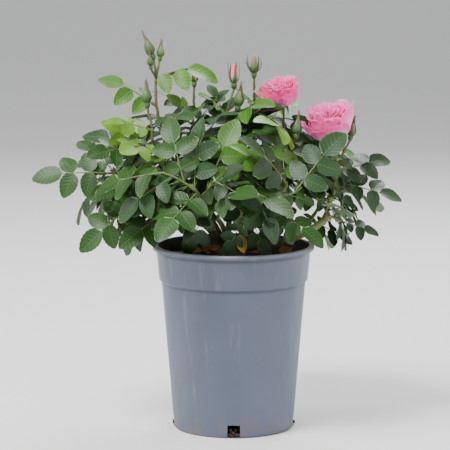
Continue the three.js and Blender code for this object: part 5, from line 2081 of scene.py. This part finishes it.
class Crown:
    """All foliage, stems, buds and blooms, gathered kind by kind."""

    def __init__(self, prickles):
        self.leaves = {name: Heap() for name in LEAF_TINTS}
        self.stems = Heap()
        self.green = Heap()
        self.bud_petals = Heap()
        self.blooms = {}
        self.prickles = prickles

    def put_shoot(self, shoot):
        first = FINISH_SEEDS["shoots"] + shoot.number * FINISH_SEEDS["shoot_step"]
        seed = {kind: first + step for kind, step in WITHIN_SHOOT.items()}
        put_stem(self.stems, "shoot", shoot.curve, SHOOT_RADIUS, first)
        put_prickles(self.prickles, shoot.curve, SHOOT_RADIUS, ON_SHOOTS, seed["prickles"])
        for i, twig in enumerate(shoot.twigs + shoot.fine_twigs):
            radii = TWIG["radius"] if i < len(shoot.twigs) else FINE["twig_radius"]
            if twig.outermost:
                put_stem(self.stems, "twig", twig, radii, seed["twig"] + i, twig.outermost)
        for i, leaf in enumerate(shoot.leaves):
            tint = leaf_tint(leaf, seeded(seed["tint"] + i))
            put_leaf(leaf, self.leaves[tint], self.stems, seeded(seed["leaf"] + i))
        for i, flower in enumerate(shoot.flowers):
            put_stem(self.stems, "stalk", flower["stalk"], STALK_RADIUS, seed["stalk"] + i)
            self.put_flower(shoot.name, flower, seeded(seed["flower"] + i))

    def put_flower(self, shoot_name, flower, random):
        if flower["kind"] == "bloom":
            self.blooms[shoot_name] = Heap()
            put_bloom(shoot_name, flower, self.green, self.blooms[shoot_name], random)
        else:
            put_bud(flower, self.green, self.bud_petals, random)

    def make_pieces(self):
        nodes = list(SHOOTS)
        leaf_looks = make_leaf_materials()
        for name, heap in self.leaves.items():
            dress(heap.piece(f"leaves_{name}", leaf_looks[name], in_cells=True), "foliage", *nodes)
        dress(self.stems.piece("stems", [stem_material()]), "cane", *nodes)
        dress(self.prickles.piece("prickles", [prickle_material()], smooth=False), "cane")
        sepal = sepal_material()
        dress(self.green.piece("hips_and_sepals", [sepal, sepal]), "foliage", *nodes)
        looks = [petal_material(name, *colours) for name, colours in BUD_COLOURS.items()]
        dress(self.bud_petals.piece("bud_petals", looks), "petal", *nodes)
        for name, heap in self.blooms.items():
            sides = PETAL_COLOURS[name].items()
            looks = [petal_material(f"petal_{side}", *colours) for side, colours in sides]
            dress(heap.piece(f"petals_of_{name}", looks, in_cells=True), "petal", name)


def make_crown(shoots, prickles):
    crown = Crown(prickles)
    for shoot in shoots:
        crown.put_shoot(shoot)
    put_loose_leaves(crown.leaves)
    crown.make_pieces()


# Studio, in metres

FLOOR = {"width": 16, "depth": 12, "wall": 7, "curve": 3, "curve_steps": 12}
SKY = {"colour": rgb(0.86, 0.88, 0.90), "strength": 0.55}
# Each lamp's place, size and power. They all look at the middle of the object.
LAMPS = {
    "key": ((-0.8, -1.0, 2.2), 0.8, 88),
    "fill": ((1.7, -1.6, 0.9), 1.2, 14),
    "back": ((0.5, 1.5, 2.0), 0.9, 52),
    "left_side": ((-2.4, -0.1, 1.3), 1.3, 27),
    "right_side": ((2.4, 0.1, 1.3), 1.3, 20),
}
LIT_POINT = (0, 0, 0.25)
CAMERA = {"place": (-0.0101, -2.747, 0.630), "down": 8.08, "lens": 189.1, "sensor": 36}


def make_floor():
    """A plain pale floor that curves up into a wall behind."""
    material, tree, shader = new_material("studio_floor")
    paint(tree, shader, rgb(0.78, 0.78, 0.77), 0.85)
    deselect_all()
    bpy.ops.mesh.primitive_plane_add(size=1)
    floor = just_added("studio_floor")
    floor.scale = (FLOOR["width"], FLOOR["depth"], 1)
    finish_place(floor)
    start_edit("EDGE", "DESELECT")
    end_edit()
    for edge in floor.data.edges:
        edge.select = min(floor.data.vertices[i].co.y for i in edge.vertices) > 0
    start_edit("EDGE")
    extrude_up(FLOOR["wall"])
    end_edit()
    add_bevel(floor, FLOOR["curve"], FLOOR["curve_steps"])
    apply_modifiers(floor)
    smooth_below(floor, 40)
    floor.data.materials.append(material)


def put_in_scene(name, data, place):
    holder = bpy.data.objects.new(name, data)
    bpy.context.scene.collection.objects.link(holder)
    holder.location = place
    return holder


def make_lights():
    world = bpy.data.worlds.new("studio")
    world.use_nodes = True
    background = world.node_tree.nodes["Background"]
    background.inputs["Color"].default_value = SKY["colour"]
    background.inputs["Strength"].default_value = SKY["strength"]
    bpy.context.scene.world = world
    for name, (place, size, power) in LAMPS.items():
        light = bpy.data.lights.new(name, "AREA")
        light.size = size
        light.energy = power
        lamp = put_in_scene(name, light, place)
        lamp.rotation_euler = (Vector(LIT_POINT) - Vector(place)).to_track_quat("-Z", "Y").to_euler()


def make_camera():
    """Where the photo was taken from: a little above the crown, looking slightly down."""
    camera = bpy.data.cameras.new("camera")
    camera.lens = CAMERA["lens"]
    camera.sensor_width = CAMERA["sensor"]
    holder = put_in_scene("camera", camera, CAMERA["place"])
    holder.rotation_euler = (math.radians(90 - CAMERA["down"]), 0, 0)
    bpy.context.scene.camera = holder


make_camera()
make_floor()
make_lights()
bush_canes, bush_shoots = grow_bush()
make_pot_and_mix()
make_crown(bush_shoots, make_wood(bush_canes))
